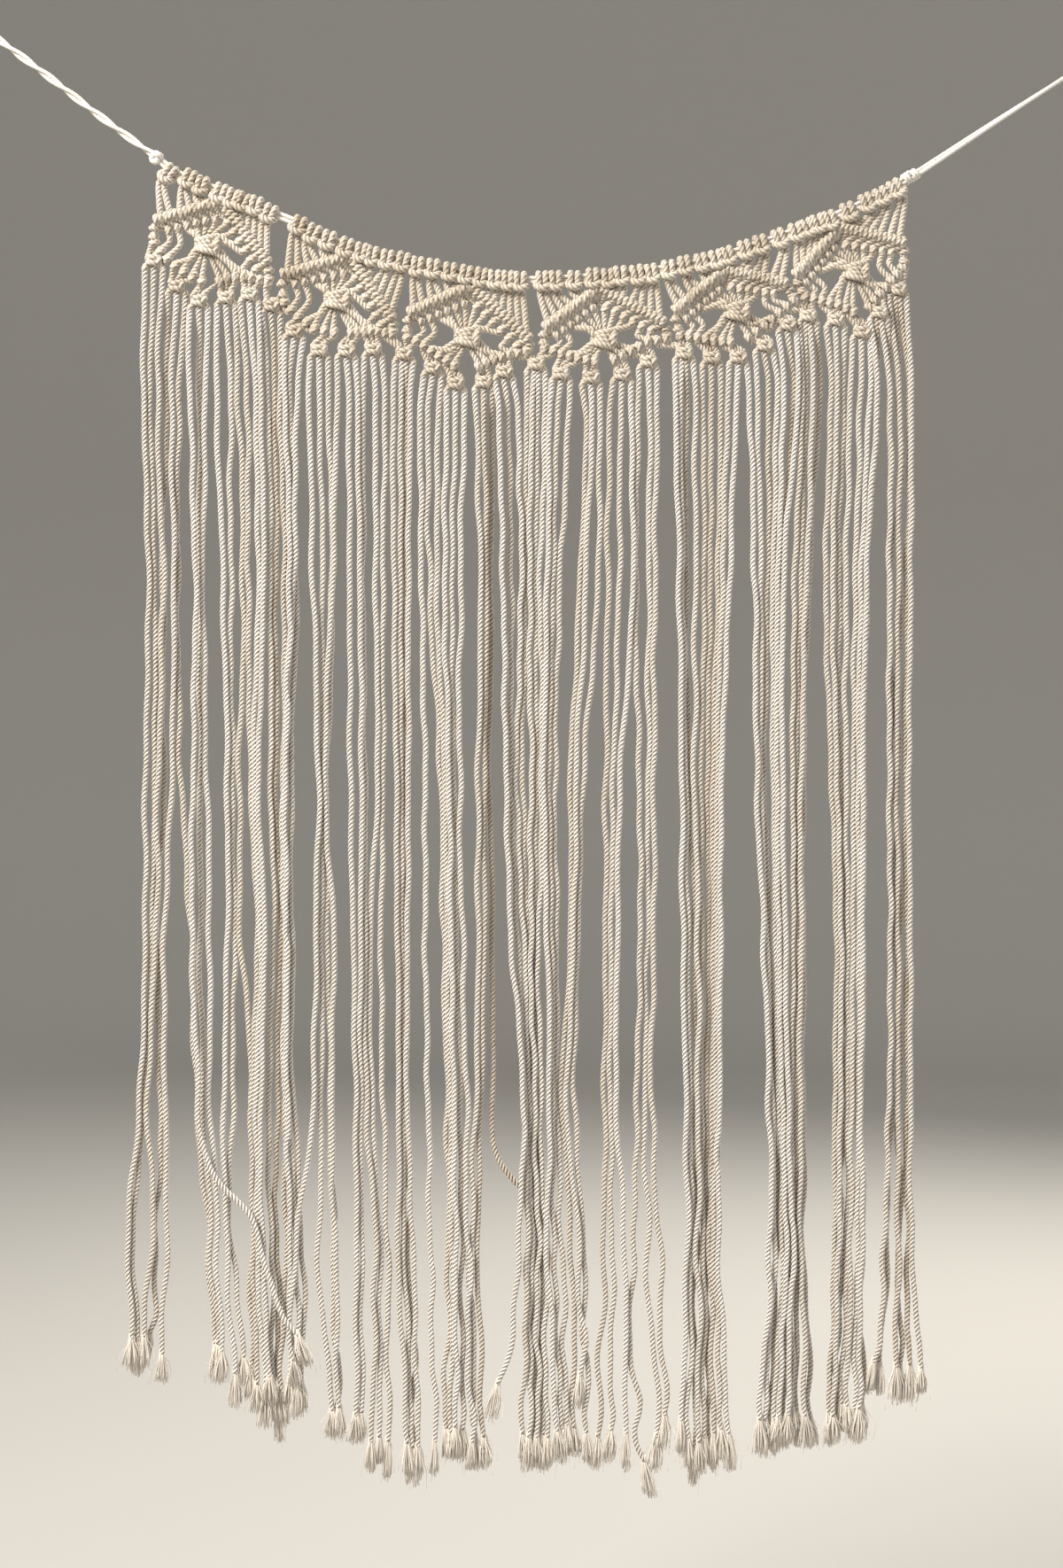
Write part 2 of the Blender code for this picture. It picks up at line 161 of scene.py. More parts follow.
# %% The profile of a twisted cord, and of a smooth strand of rope
def profile(name, radii):
    """A closed flat curve, with its points at these distances from the middle."""
    curve = bpy.data.curves.new(name, "CURVE")
    curve.dimensions = "2D"
    ring = curve.splines.new("POLY")
    ring.points.add(len(radii) - 1)
    for i, r in enumerate(radii):
        a = 2 * math.pi * i / len(radii)
        ring.points[i].co = (r * MM * math.cos(a), r * MM * math.sin(a), 0, 1)
    ring.use_cyclic_u = True
    made = bpy.data.objects.new(name, curve)
    bpy.context.scene.collection.objects.link(made)
    return made


RIDGE = 2.55
VALLEY = 2.05
LAY = 11.0
PLIES = 3
ply_profile = profile("ply_profile", [RIDGE, VALLEY] * PLIES)
TIGHT_VALLEY = 2.3
tight_profile = profile("tight_profile", [RIDGE, TIGHT_VALLEY] * PLIES)
ROPE_STRAND = 1.72
rope_profile = profile("rope_profile", [ROPE_STRAND] * 8)
print("cord", 2 * RIDGE, "mm over its ridges, a lay of", LAY, "mm")


# %% Turn lines into one mesh of twisted cords
def laid_cords(name, lines, shape, lay, tones_and_shades, seed=0):
    """One mesh: every line becomes a twisted cord. Each point knows its groove, and its cord's darkness: its
    own and any painted shade.
    """
    chance = np.random.default_rng(seed)
    curve = bpy.data.curves.new(name, "CURVE")
    curve.dimensions = "3D"
    curve.twist_mode = "MINIMUM"
    curve.bevel_mode = "OBJECT"
    curve.bevel_object = shape
    for line in lines:
        n = len(line)
        spline = curve.splines.new("POLY")
        spline.points.add(n - 1)
        co = np.ones((n, 4), np.float32)
        co[:, :3] = line[:, :3] * MM
        spline.points.foreach_set("co", co.ravel())
        spline.points.foreach_set("radius", line[:, 3].astype(np.float32))
        turn = chance.uniform(0, 2 * math.pi) + 2 * math.pi * run_along(line) / lay
        spline.points.foreach_set("tilt", turn.astype(np.float32))
    piece = bpy.data.objects.new(name, curve)
    bpy.context.scene.collection.objects.link(piece)
    bpy.ops.object.select_all(action="DESELECT")
    piece.select_set(True)
    bpy.context.view_layer.objects.active = piece
    bpy.ops.object.convert(target="MESH")
    piece = bpy.context.object
    around = len(shape.data.splines[0].points)
    mark_cords(piece.data, [len(line) for line in lines], around, tones_and_shades)
    bpy.ops.object.mode_set(mode="EDIT")
    bpy.ops.mesh.select_all(action="SELECT")
    bpy.ops.mesh.fill_holes(sides=0)
    bpy.ops.mesh.select_all(action="SELECT")
    bpy.ops.mesh.normals_make_consistent(inside=False)
    bpy.ops.object.mode_set(mode="OBJECT")
    return piece


def mark_cords(mesh, counts, around, tones_and_shades):
    """Writes on each point whether it lies in a groove, and its cord's darkness, its own and any painted
    shade, for the finish.
    """
    groove = np.tile(np.arange(around) % 2, sum(counts)).astype(np.float32)
    tone_and_shade = np.repeat(tones_and_shades, np.array(counts) * around).astype(np.float32)
    if len(mesh.vertices) != len(groove):
        raise SystemExit(f"{mesh.name}: {len(mesh.vertices)} points, and {len(groove)} were expected")
    mesh.attributes.new("groove", "FLOAT", "POINT").data.foreach_set("value", groove)
    mesh.attributes.new("tone_and_shade", "FLOAT", "POINT").data.foreach_set("value", tone_and_shade)
    if around > 3:
        mesh.shade_smooth()
    if around == 2 * PLIES:
        ends = np.empty(len(mesh.edges) * 2, np.int32)
        mesh.edges.foreach_get("vertices", ends)
        crease = groove[ends].reshape(-1, 2).min(axis=1) > 0.5
        sharp = mesh.attributes.get("sharp_edge") or mesh.attributes.new("sharp_edge", "BOOLEAN", "EDGE")
        sharp.data.foreach_set("value", crease)


def faces_of(piece):
    """How many triangles a piece has."""
    return sum(len(p.vertices) - 2 for p in piece.data.polygons)


print("a cord turns", round(1000 / LAY), "times in each metre")

# %% [markdown]
# ## The hanging rope
#
# The rope is a smooth white cotton line laid double. On the left its two strands twist slowly
# round each other and end at the hanging in a small ball of an overhand knot. On the right they
# run side by side into two wraps. Past the photograph's edges each tail ends in the eye that
# hangs on its hook.

# %% The rope's route, as the model has it
HOOKS_ABOVE = 214.3
LEFT_TAIL = [(-317, -111), (-360, -80), (-405, -45.5), (-459.6, -4.7)]
RIGHT_TAIL = [(326, -124.5), (390, -82.5), (458.2, -38.8)]
LEFT_HOOK = (-490.0, 18.0)
RIGHT_HOOK = (490.0, -18.0)
UNDER_HEADS = [
    (-317, -111), (-304, -122), (-279, -133), (-253, -143.5), (-221, -157), (-196.5, -167),
    (-172, -179), (-144, -189.5), (-109, -198), (-83, -204), (-55.5, -209), (-31.5, -212.5),
    (-10, -214.5), (20, -214), (52, -212), (89, -208.5), (116, -204.5), (144, -199),
    (166, -193), (193.5, -184), (223.5, -173), (242, -166), (268, -155.5), (295.5, -142.5),
    (317, -129.5), (326, -124.5),
]
ROPE_STEP = 3.0
ROPE_APART = 1.75


def on_route(points):
    """Points of the rope's route, given from the hooks' line, as places in millimetres."""
    return [np.array([x, 0.0, z + HOOKS_ABOVE]) for x, z in points]


def paired(line, turn_length, start=0.0):
    """Two strands beside a line, wound round each other once in each turn_length."""
    ahead = np.gradient(line[:, :3], axis=0)
    ahead /= np.linalg.norm(ahead, axis=1)[:, None]
    side = np.cross(ahead, TOWARDS_VIEWER)
    run = run_along(line)
    a = start + 2 * math.pi * run / turn_length if turn_length else np.full(len(run), start)
    off = np.cos(a)[:, None] * side + np.sin(a)[:, None] * TOWARDS_VIEWER
    pair = []
    for sign in (1, -1):
        strand = line.copy()
        strand[:, :3] += sign * ROPE_APART * off
        pair.append(strand)
    return pair


left_line = smooth_line(on_route(LEFT_TAIL), ROPE_STEP)
right_line = smooth_line(on_route(RIGHT_TAIL), ROPE_STEP)
under_line = smooth_line(on_route(UNDER_HEADS), ROPE_STEP)
print("tails", round(long(left_line)), round(long(right_line)), "mm; between them", round(long(under_line)))

# %% The two tails and the stretch that carries the cords
LEFT_TURN = 56.0
RIGHT_TURN = 900.0
RIGHT_START = 0.5
ROPE_LAY = 14.0
left_pair = paired(left_line, LEFT_TURN)
right_pair = paired(right_line, RIGHT_TURN, RIGHT_START)
under_pair = paired(under_line, 0)
rope_left = laid_cords("rope_left_tail", left_pair, rope_profile, ROPE_LAY, [0.2, 0.3], 1)
rope_right = laid_cords("rope_right_tail", right_pair, rope_profile, ROPE_LAY, [0.2, 0.3], 2)
rope_middle = laid_cords("rope_under_heads", under_pair, rope_profile, ROPE_LAY, [0.3, 0.4], 3)
print("rope:", [faces_of(o) for o in (rope_left, rope_right, rope_middle)], "triangles")


# %% The ball knot on the left, the wraps on the right, and the two eyes
BALL_THICK = 1.75
STOP_BALL = 3.7
END_BALL = 4.4
COIL_STEP = 1.6
POINTS_A_TURN = 14
EYE_WIDE = 17.0
EYE_STEP = ROPE_STEP / 1.6
BALL_POINTS = 44
BALL_LONG = 0.75


def axes_along(heading):
    """Three directions square to each other, the first of them along heading."""
    e1 = unit(heading)
    e2 = unit(np.cross(e1, TOWARDS_VIEWER))
    return e1, e2, np.cross(e1, e2)


def ball_knot(middle, size, heading):
    """A closed overhand knot: three lobes pulled into a ball, its axis along heading."""
    t = np.linspace(0, 2 * math.pi, BALL_POINTS + 1)[:-1]
    a = (np.sin(t) + 2 * np.sin(2 * t)) / 3
    b = (np.cos(t) - 2 * np.cos(2 * t)) / 3
    c = -np.sin(3 * t) * BALL_LONG
    e1, e2, e3 = axes_along(heading)
    ring = middle + size * (a[:, None] * e3 + b[:, None] * e2 + c[:, None] * e1)
    return smooth_line(thick(np.vstack([ring, ring[:2]]), BALL_THICK), COIL_STEP)


def wraps(middle, heading, turns, radius, pitch):
    """A strand wound round the rope."""
    a = np.linspace(0, 2 * math.pi * turns, int(turns * POINTS_A_TURN) + 1)
    e1, e2, e3 = axes_along(heading)
    shift = (a / (2 * math.pi) - turns / 2) * pitch
    coil = middle + radius * (np.cos(a)[:, None] * e2 + np.sin(a)[:, None] * e3) + shift[:, None] * e1
    return smooth_line(thick(coil, 1.0), COIL_STEP)


def eye(hook, knot_at, width):
    """The bight of the doubled rope: out of the end knot, round the hook, and back."""
    hook, knot_at = np.array(hook), np.array(knot_at)
    out = unit(hook - knot_at)
    side = np.cross(out, TOWARDS_VIEWER)
    span = np.linalg.norm(hook - knot_at)
    shape = [(0, 0.12), (0.3, 0.7), (0.62, 1.0), (0.9, 0.8), (1.08, 0.3), (1.1, 0.0)]
    half = [knot_at + out * span * u + side * width / 2 * v for u, v in shape]
    back = [knot_at + out * span * u - side * width / 2 * v for u, v in shape[-2::-1]]
    return smooth_line(half + back, EYE_STEP)


stop_left = spot(176.5, 177.5)
stop_right = [spot(1032, 197), spot(1023.5, 201.5)]
down_left = on_route(LEFT_TAIL)[1] - on_route(LEFT_TAIL)[0]
down_right = on_route(RIGHT_TAIL)[1] - on_route(RIGHT_TAIL)[0]
stop_knots = laid_cords(
    "rope_stop_knots",
    [
        ball_knot(stop_left, STOP_BALL, down_left),
        wraps(stop_right[0], down_right, turns=2.3, radius=3.5, pitch=2.6),
        wraps(stop_right[1], down_right, turns=2.6, radius=3.7, pitch=2.8),
    ],
    rope_profile, ROPE_LAY, [0.15, 0.2, 0.3], 4,
)
end_left, end_right = on_route(LEFT_TAIL)[-1], on_route(RIGHT_TAIL)[-1]
hook_left, hook_right = on_route([LEFT_HOOK])[0], on_route([RIGHT_HOOK])[0]
left_end = laid_cords(
    "rope_left_eye",
    [ball_knot(end_left, END_BALL, down_left), eye(hook_left, end_left, EYE_WIDE)],
    rope_profile, ROPE_LAY, [0.2, 0.25], 5,
)
right_end = laid_cords(
    "rope_right_eye",
    [ball_knot(end_right, END_BALL, down_right), eye(hook_right, end_right, EYE_WIDE)],
    rope_profile, ROPE_LAY, [0.2, 0.25], 6,
)
print("knots:", [faces_of(o) for o in (stop_knots, left_end, right_end)], "triangles")

# %% [markdown]
# ## The lark's heads
#
# Each cord is folded in half. Its fold is laid over the rope from the front, and both tails are
# pulled through it behind, so from the front one sees two upright legs and, below them, a short
# bar across. A half path is enough, because the other tail is its mirror image.

# %% Where the heads sit, and the path of half a head
HEAD_POINTS = [
    [(192, 195), (214, 200), (228, 208), (249, 217), (263, 222), (275, 226), (289, 231), (305, 239)],
    [(338, 253), (354, 262), (371, 270), (391, 277), (408, 283), (420, 287), (437, 291), (455, 294)],
    [(471, 299), (489, 302), (508, 305), (526, 309), (543, 312), (558, 314), (573, 315), (587, 316)],
    [(612, 315), (627, 315), (648, 315), (669, 312), (686, 312), (700, 310), (719, 309), (735, 307)],
    [(754.5, 303), (772.5, 298), (791.5, 295), (808, 291), (821, 287), (840.5, 281), (858, 275),
     (879, 268)],
    [(898, 261), (911, 255), (923, 251), (936, 247), (957, 238), (977.5, 228), (994, 220), (1010, 212)],
]
HALF_HEAD = [
    (0.0, -6.9, -8.6), (3.2, -6.5, -7.9), (5.7, -4.2, -5.8), (5.9, 0.5, -3.2), (4.6, 4.6, -0.4),
    (3.5, 3.8, 3.2), (3.2, 0.0, 5.1), (3.1, -3.7, 3.9), (3.0, -5.0, 0.2), (2.6, -3.8, -4.2),
    (2.5, -1.9, -8.2), (2.7, -1.2, -12.0),
]
HEAD_THICK = 1.06
BAR_THICK = 1.24
HEAD_TURN = 0.85
HALF_HEAD_WIDE = 9
# how much a hand-tied head leans, in radians, grows in width and height, and strays up or down
ODD_LEAN, ODD_WIDE, ODD_TALL, ODD_PLACE = (-0.09, 0.09), (0.92, 1.08), (0.93, 1.06), (-0.5, 0.5)
by_hand = np.random.default_rng(3)


def rope_slope(column):
    """The rope's lean at a column of the photograph, in radians."""
    x = (column - MIDDLE_COLUMN) * PIXEL
    beside = (-HALF_HEAD_WIDE, HALF_HEAD_WIDE)
    a, b = (np.interp(x + d, under_line[:, 0], under_line[:, 2]) for d in beside)
    return math.atan2(b - a, 2 * HALF_HEAD_WIDE)


def head_halves(point):
    """The two tails of a lark's head, each from the middle of its bar to below the rope."""
    lean = rope_slope(point[0]) * HEAD_TURN + by_hand.uniform(*ODD_LEAN)
    wide, tall = by_hand.uniform(*ODD_WIDE), by_hand.uniform(*ODD_TALL)
    c, s = math.cos(lean), math.sin(lean)
    middle = spot(*point) + np.array([0, 0, by_hand.uniform(*ODD_PLACE)])
    halves = []
    for side in (-1, 1):
        places = []
        for u, y, v in HALF_HEAD:
            u, v = u * side * wide, v * tall
            places.append(middle + np.array([u * c - v * s, y, u * s + v * c]))
        halves.append(thick(places[:2], BAR_THICK) + thick(places[2:], HEAD_THICK))
    return halves


print("heads:", sum(len(row) for row in HEAD_POINTS), "in", len(HEAD_POINTS), "motifs")


# %% [markdown]
# ## The motif's knots
#
# Three knots make the whole pattern. A double half hitch ties a strand on a holding cord that
# runs along a diagonal, and shows as two beads. A square knot ties two strands round the ones
# between them. The big knot at the motif's heart is a square knot too, with doubled strands.
# Each is a short list of points round its middle, which the strands of a motif share.

# %% The double half hitch
WIND = np.radians([15, 55, 90, 125, 165, 205, 245, 290, 330, 375, 415, 450, 485, 525])
BACK_FROM, BACK_TO = math.radians(165), math.radians(375)


def half_hitches(seat, run, pitch, first, second, share):
    """Down the front of the holding cord, up behind it, and down the front again."""
    run = unit(run)
    lift = np.array([-run[2], 0.0, run[0]])
    if lift[2] < 0:
        lift = -lift
    places = []
    for a in WIND:
        t = min(max((a - BACK_FROM) / (BACK_TO - BACK_FROM), 0.0), 1.0)
        t = t * t * (3 - 2 * t)
        reach = first + (second - first) * t
        around = math.cos(a) * lift + math.sin(a) * TOWARDS_VIEWER
        places.append(seat + run * pitch * (t - 0.5) + reach * around)
    return thick(places, share)


print("a double half hitch winds", round((WIND[-1] - WIND[0]) / (2 * math.pi), 2), "times round")

# %% The square knot
OVER_AND_BACK = [
    (5.2, 0.0, 6.6), (5.9, -1.2, 4.2), (2.0, -4.3, 3.1), (-2.0, -4.5, 2.5), (-5.2, -2.0, 1.6),
    (-6.0, 0.4, 0.0), (-5.2, -2.0, -1.6), (-2.0, -4.5, -2.7), (2.0, -4.3, -3.3), (5.8, -1.6, -4.2),
    (8.8, -0.6, -6.0), (9.6, -0.2, -9.8),
]
ROUND_THE_BACK = [
    (-5.2, 0.0, 6.6), (-6.0, -2.6, 3.8), (-5.6, 0.5, 1.4), (-3.6, 3.6, 1.4), (0.0, 4.4, 2.0),
    (4.0, 3.5, 2.6), (6.2, 0.2, 3.1), (6.3, -3.2, 2.4), (6.1, -5.3, -0.2), (5.9, -3.4, -2.9),
    (5.0, 2.2, -3.6), (0.0, 4.3, -3.3), (-4.0, 3.2, -3.0), (-6.4, 0.4, -3.8),
    (-8.8, -0.4, -6.0), (-9.6, -0.2, -9.8),
]
KNOT_SHARE = np.array([0.8, 0.86, 0.8])
KNOT_THICK = 1.1
CORE_AT = {3: [0.0], 4: [-1.7, 1.7]}
CORE_HEIGHTS = (6.0, 2.0, -2.0, -7.2)
CORE_DEPTH = 0.3
CORE_THICK = 0.72


def knot_paths(middle, strands):
    """The strands of a small square knot, left to right, from above it to below it."""
    def placed(path):
        return thick([middle + np.array(p) * KNOT_SHARE for p in path], KNOT_THICK)

    cores = [
        thick([middle + np.array([x, CORE_DEPTH, z]) for z in CORE_HEIGHTS], CORE_THICK)
        for x in CORE_AT[strands]
    ]
    return [placed(ROUND_THE_BACK), *cores, placed(OVER_AND_BACK)]


print("a small square knot has", len(OVER_AND_BACK) + len(ROUND_THE_BACK), "points in its two tying strands")

# %% The big knot at the heart: the same two paths, each run by two strands side by side
HEART_ACROSS = 1.26
HEART_TALL = 1.22
HEART_DEEP = 1.15
HEART_THICK = 1.15
LANES = (1.0, -1.0)
LANE_WIDER, LANE_TALLER = 0.13, 0.46
HEART_CORE_AT = (-3.6, -1.2, 1.2, 3.6)
HEART_CORE_HEIGHTS = (5.0, 0.0, -5.0)
HEART_CORE_DEPTH = 0.2
HEART_CORE_THICK = 0.7


def heart_paths(middle):
    """Eight strands through the heart: two that go round, four between, and two that go round."""
    def lane(path, side):
        wide = HEART_ACROSS * (1 + LANE_WIDER * side)
        tall = HEART_TALL * (1 + LANE_TALLER * side)
        steps = [np.array([x * wide, y * HEART_DEEP, z * tall]) for x, y, z in path[1:-1]]
        return thick([middle + p for p in steps], HEART_THICK)

    left = [lane(ROUND_THE_BACK, s) for s in LANES]
    right = [lane(OVER_AND_BACK, s) for s in LANES]
    core = [
        thick([middle + np.array([x, HEART_CORE_DEPTH, z]) for z in HEART_CORE_HEIGHTS], HEART_CORE_THICK)
        for x in HEART_CORE_AT
    ]
    return [*left, *core, *right[::-1]]


print("strands through a heart:", len(heart_paths(np.zeros(3))))

# %% [markdown]
# ## One motif
#
# Sixteen strands, numbered from the left, make a motif. Numbers 7 and 8 cross at the peak and
# become the holding cords of the outer roof, and the other fourteen are hitched on them. Then 6
# and 9 cross and hold the inner row. Eight strands meet in the heart and fan out again. The two
# outer strands of each side bow past it, and 9 and 6 bind the sides. Below, 7 and 8 come back
# along the lower V, and every three or four strands end in a small square knot.

# %% Each motif's own points, in the photograph's pixels
MOTIFS = [
    dict(peak=(251, 228), left=(175, 250), right=(303, 298), heart=(234, 277),
         vee_left=[(171, 271), (183, 287), (200, 303), (234, 322)],
         vee_right=[(306, 322), (281, 313), (258, 314), (243, 321)]),
    dict(peak=(396, 290), left=(318, 311), right=(443, 361), heart=(380, 339),
         vee_left=[(318, 338), (332, 355), (358, 373), (384, 377)],
         vee_right=[(446, 378), (421, 374), (400, 376), (392, 378)]),
    dict(peak=(532, 323), left=(461, 354), right=(598, 384), heart=(527, 381),
         vee_left=[(456, 379), (478, 390), (496, 403), (518, 416)],
         vee_right=[(598, 397), (577, 401), (555, 407), (536, 418)]),
    dict(peak=(676, 326), left=(614, 371), right=(750, 365), heart=(681, 383),
         vee_left=[(611, 392), (631, 399), (656, 406), (677, 409)],
         vee_right=[(757, 383), (731, 387), (704, 402), (687, 409)]),
    dict(peak=(818, 305), left=(761, 352), right=(888, 321), heart=(831, 352),
         vee_left=[(764, 378), (786, 382), (806, 385), (830, 388)],
         vee_right=[(900, 337), (888, 347), (863, 369), (840, 386)]),
    dict(peak=(947, 257), left=(897, 312), right=(1021, 275), heart=(965, 307),
         vee_left=[(905, 334), (928, 341), (946, 345), (968, 355)],
         vee_right=[(1022, 300), (1006, 318), (994, 332), (978, 352)]),
]
STRAND_ORDER = [9, 0, 1, 2, 3, 4, 5, 8, 7, 10, 11, 12, 13, 14, 15, 6]

SQUARE_KNOTS = [
    (173.5, 294.5, 3), (199, 323, 3), (224.5, 340, 3), (255, 336, 3), (281.6, 333, 3),
    (306, 345, 3),
    (331.6, 374, 3), (360, 395.5, 3), (391, 396.5, 3), (421, 394.5, 3),
    (456, 400, 4),
    (488, 415.5, 3), (514, 433, 3), (546, 431, 3), (569, 420, 3),
    (605, 411, 4),
    (633, 422, 3), (667, 426, 3), (702, 423, 3), (731.5, 408, 3),
    (772, 399, 4),
    (803, 404, 3), (833, 404, 3), (863, 390, 3), (889, 367, 3),
    (912, 356.5, 4),
    (943, 361.5, 3), (972.5, 375, 3), (992, 353, 4), (1013.5, 327, 4),
]
KNOT_DEEP = [0.0, 1.2, -1.0, 0.6, -0.8, 1.0]


def along(points, share):
    """The point that lies this share of the way along a row of points."""
    p = np.array([spot(*q) for q in points])
    run = run_along(p)
    return np.array([np.interp(share * run[-1], run, p[:, k]) for k in range(3)])


print(len(SQUARE_KNOTS), "square knots for", sum(k[2] for k in SQUARE_KNOTS), "strands")

# %% The strands of a motif, from the heads to the lower V
ROOF_OUT = 2.4
ROW_BACK = 0.8
INNER_DROP = 19.0
CORNER_IN = (10.0, 11.0)
ROOF_HITCHES, ROW_HITCHES = 7, 6
BEAD = dict(first=2.8, second=2.8, share=1.14)
OVAL = dict(pitch=1.4, first=2.0, second=3.0, share=1.08)
SIDE_OVAL = dict(pitch=2.4, first=2.0, second=2.9, share=0.9)
LOW_OVAL = dict(pitch=1.9, first=2.0, second=3.1, share=1.06)
HELD = 0.35
SIDE_HELD = HELD + 0.2


def motif_strands(number):
    """The sixteen strands of one motif as lists of points, from its heads to its lower V."""
    shape = MOTIFS[number]
    heads = HEAD_POINTS[number]
    strands = [half for point in heads for half in head_halves(point)]
    peak, heart = spot(*shape["peak"]), spot(*shape["heart"])
    through = heart_paths(heart)
    sides = ((-1, "left", lambda i: i), (1, "right", lambda i: 15 - i))
    # the outer roof: seven strands of each side hitched on the one that comes across the peak
    for side, name, mirror in sides:
        roof = spot(*shape[name]) - peak
        pitch = np.linalg.norm(roof) / (2 * ROOF_HITCHES)
        for i in range(ROOF_HITCHES):
            seat = peak + roof * (i + 0.55) / ROOF_HITCHES + ROOF_OUT * TOWARDS_VIEWER
            strands[mirror(6 - i)] += half_hitches(seat, roof, pitch=pitch, **BEAD)
        holder = strands[mirror(8)]
        holder += thick([peak + np.array([-side * 3.0, 1.5, 3.0])], 0.8)
        held_at = [peak + roof * t + ROOF_OUT * TOWARDS_VIEWER for t in (0.03, 0.3, 0.65, 0.98)]
        holder += thick(held_at, HELD)
    for side, name, mirror in sides:
        corner = spot(*shape[name])
        inner_peak = peak + np.array([side * 2.0, 0, -INNER_DROP * PIXEL])
        inner_end = corner + np.array([-side * CORNER_IN[0] * PIXEL, 0, -CORNER_IN[1] * PIXEL])
        vee = shape["vee_" + name]
        low = [along(vee, (j + 0.35) / 7) for j in range(8)]
        row = inner_end - inner_peak
        holder = strands[mirror(8)]
        # the inner row: six more hitches on the next strand across
        for i in range(ROW_HITCHES):
            seat = inner_peak + row * (i + 0.45) / ROW_HITCHES - ROW_BACK * TOWARDS_VIEWER
            strands[mirror(5 - i)] += half_hitches(seat, row, **OVAL)
        second = strands[mirror(9)]
        second += thick([inner_peak + np.array([-side * 4.0, 1.0, 3.5])], 0.85)
        second += thick([inner_peak + row * t for t in (0.04, 0.35, 0.7, 0.96)], HELD)
        # the side: the inner holding cord is hitched on the outer one, once and again
        column = low[0] - corner
        slant = unit(column + np.array([side * 5.0, 0, 0]))
        holder += thick([corner + column * t for t in (0.15, 0.5, 0.85)], SIDE_HELD)
        for seat in (corner + column * 0.3, corner + column * 0.72):
            second += half_hitches(seat, slant, **SIDE_OVAL)
        # the lower V
        for j, i in enumerate([9, 0, 1, 2, 3, 4, 5]):
            strand = strands[mirror(i)]
            run = low[min(j + 1, 7)] - low[max(j - 1, 0)]
            seat = low[j]
            if i in (0, 1):
                start, bulge = strand[-1][:3], 4.5 + 2.0 * i
                between = (start + seat) / 2 + np.array([-side * bulge, -0.5, 1.0])
                strand += thick([between], 1.0)
            if i in (2, 3, 4, 5):
                strand += through[mirror(i) - (2 if side < 0 else 6)]
            strand += half_hitches(seat, run, **LOW_OVAL)
        holder += thick([low[0], low[2], low[4], low[6]], HELD)
    return strands


print("the peaks:", [shape["peak"] for shape in MOTIFS])

# %% [markdown]
# ## The fringe's strands
#
# From each square knot three or four strands hang down about 0.85 m. They were read off the
# photograph at six heights, with the place and height of the tuft each ends in. Strands that the
# photograph hides behind others are placed beside those. A small relaxation then gives each its
# depth: where two come nearer than a cord's width, one goes behind the other.

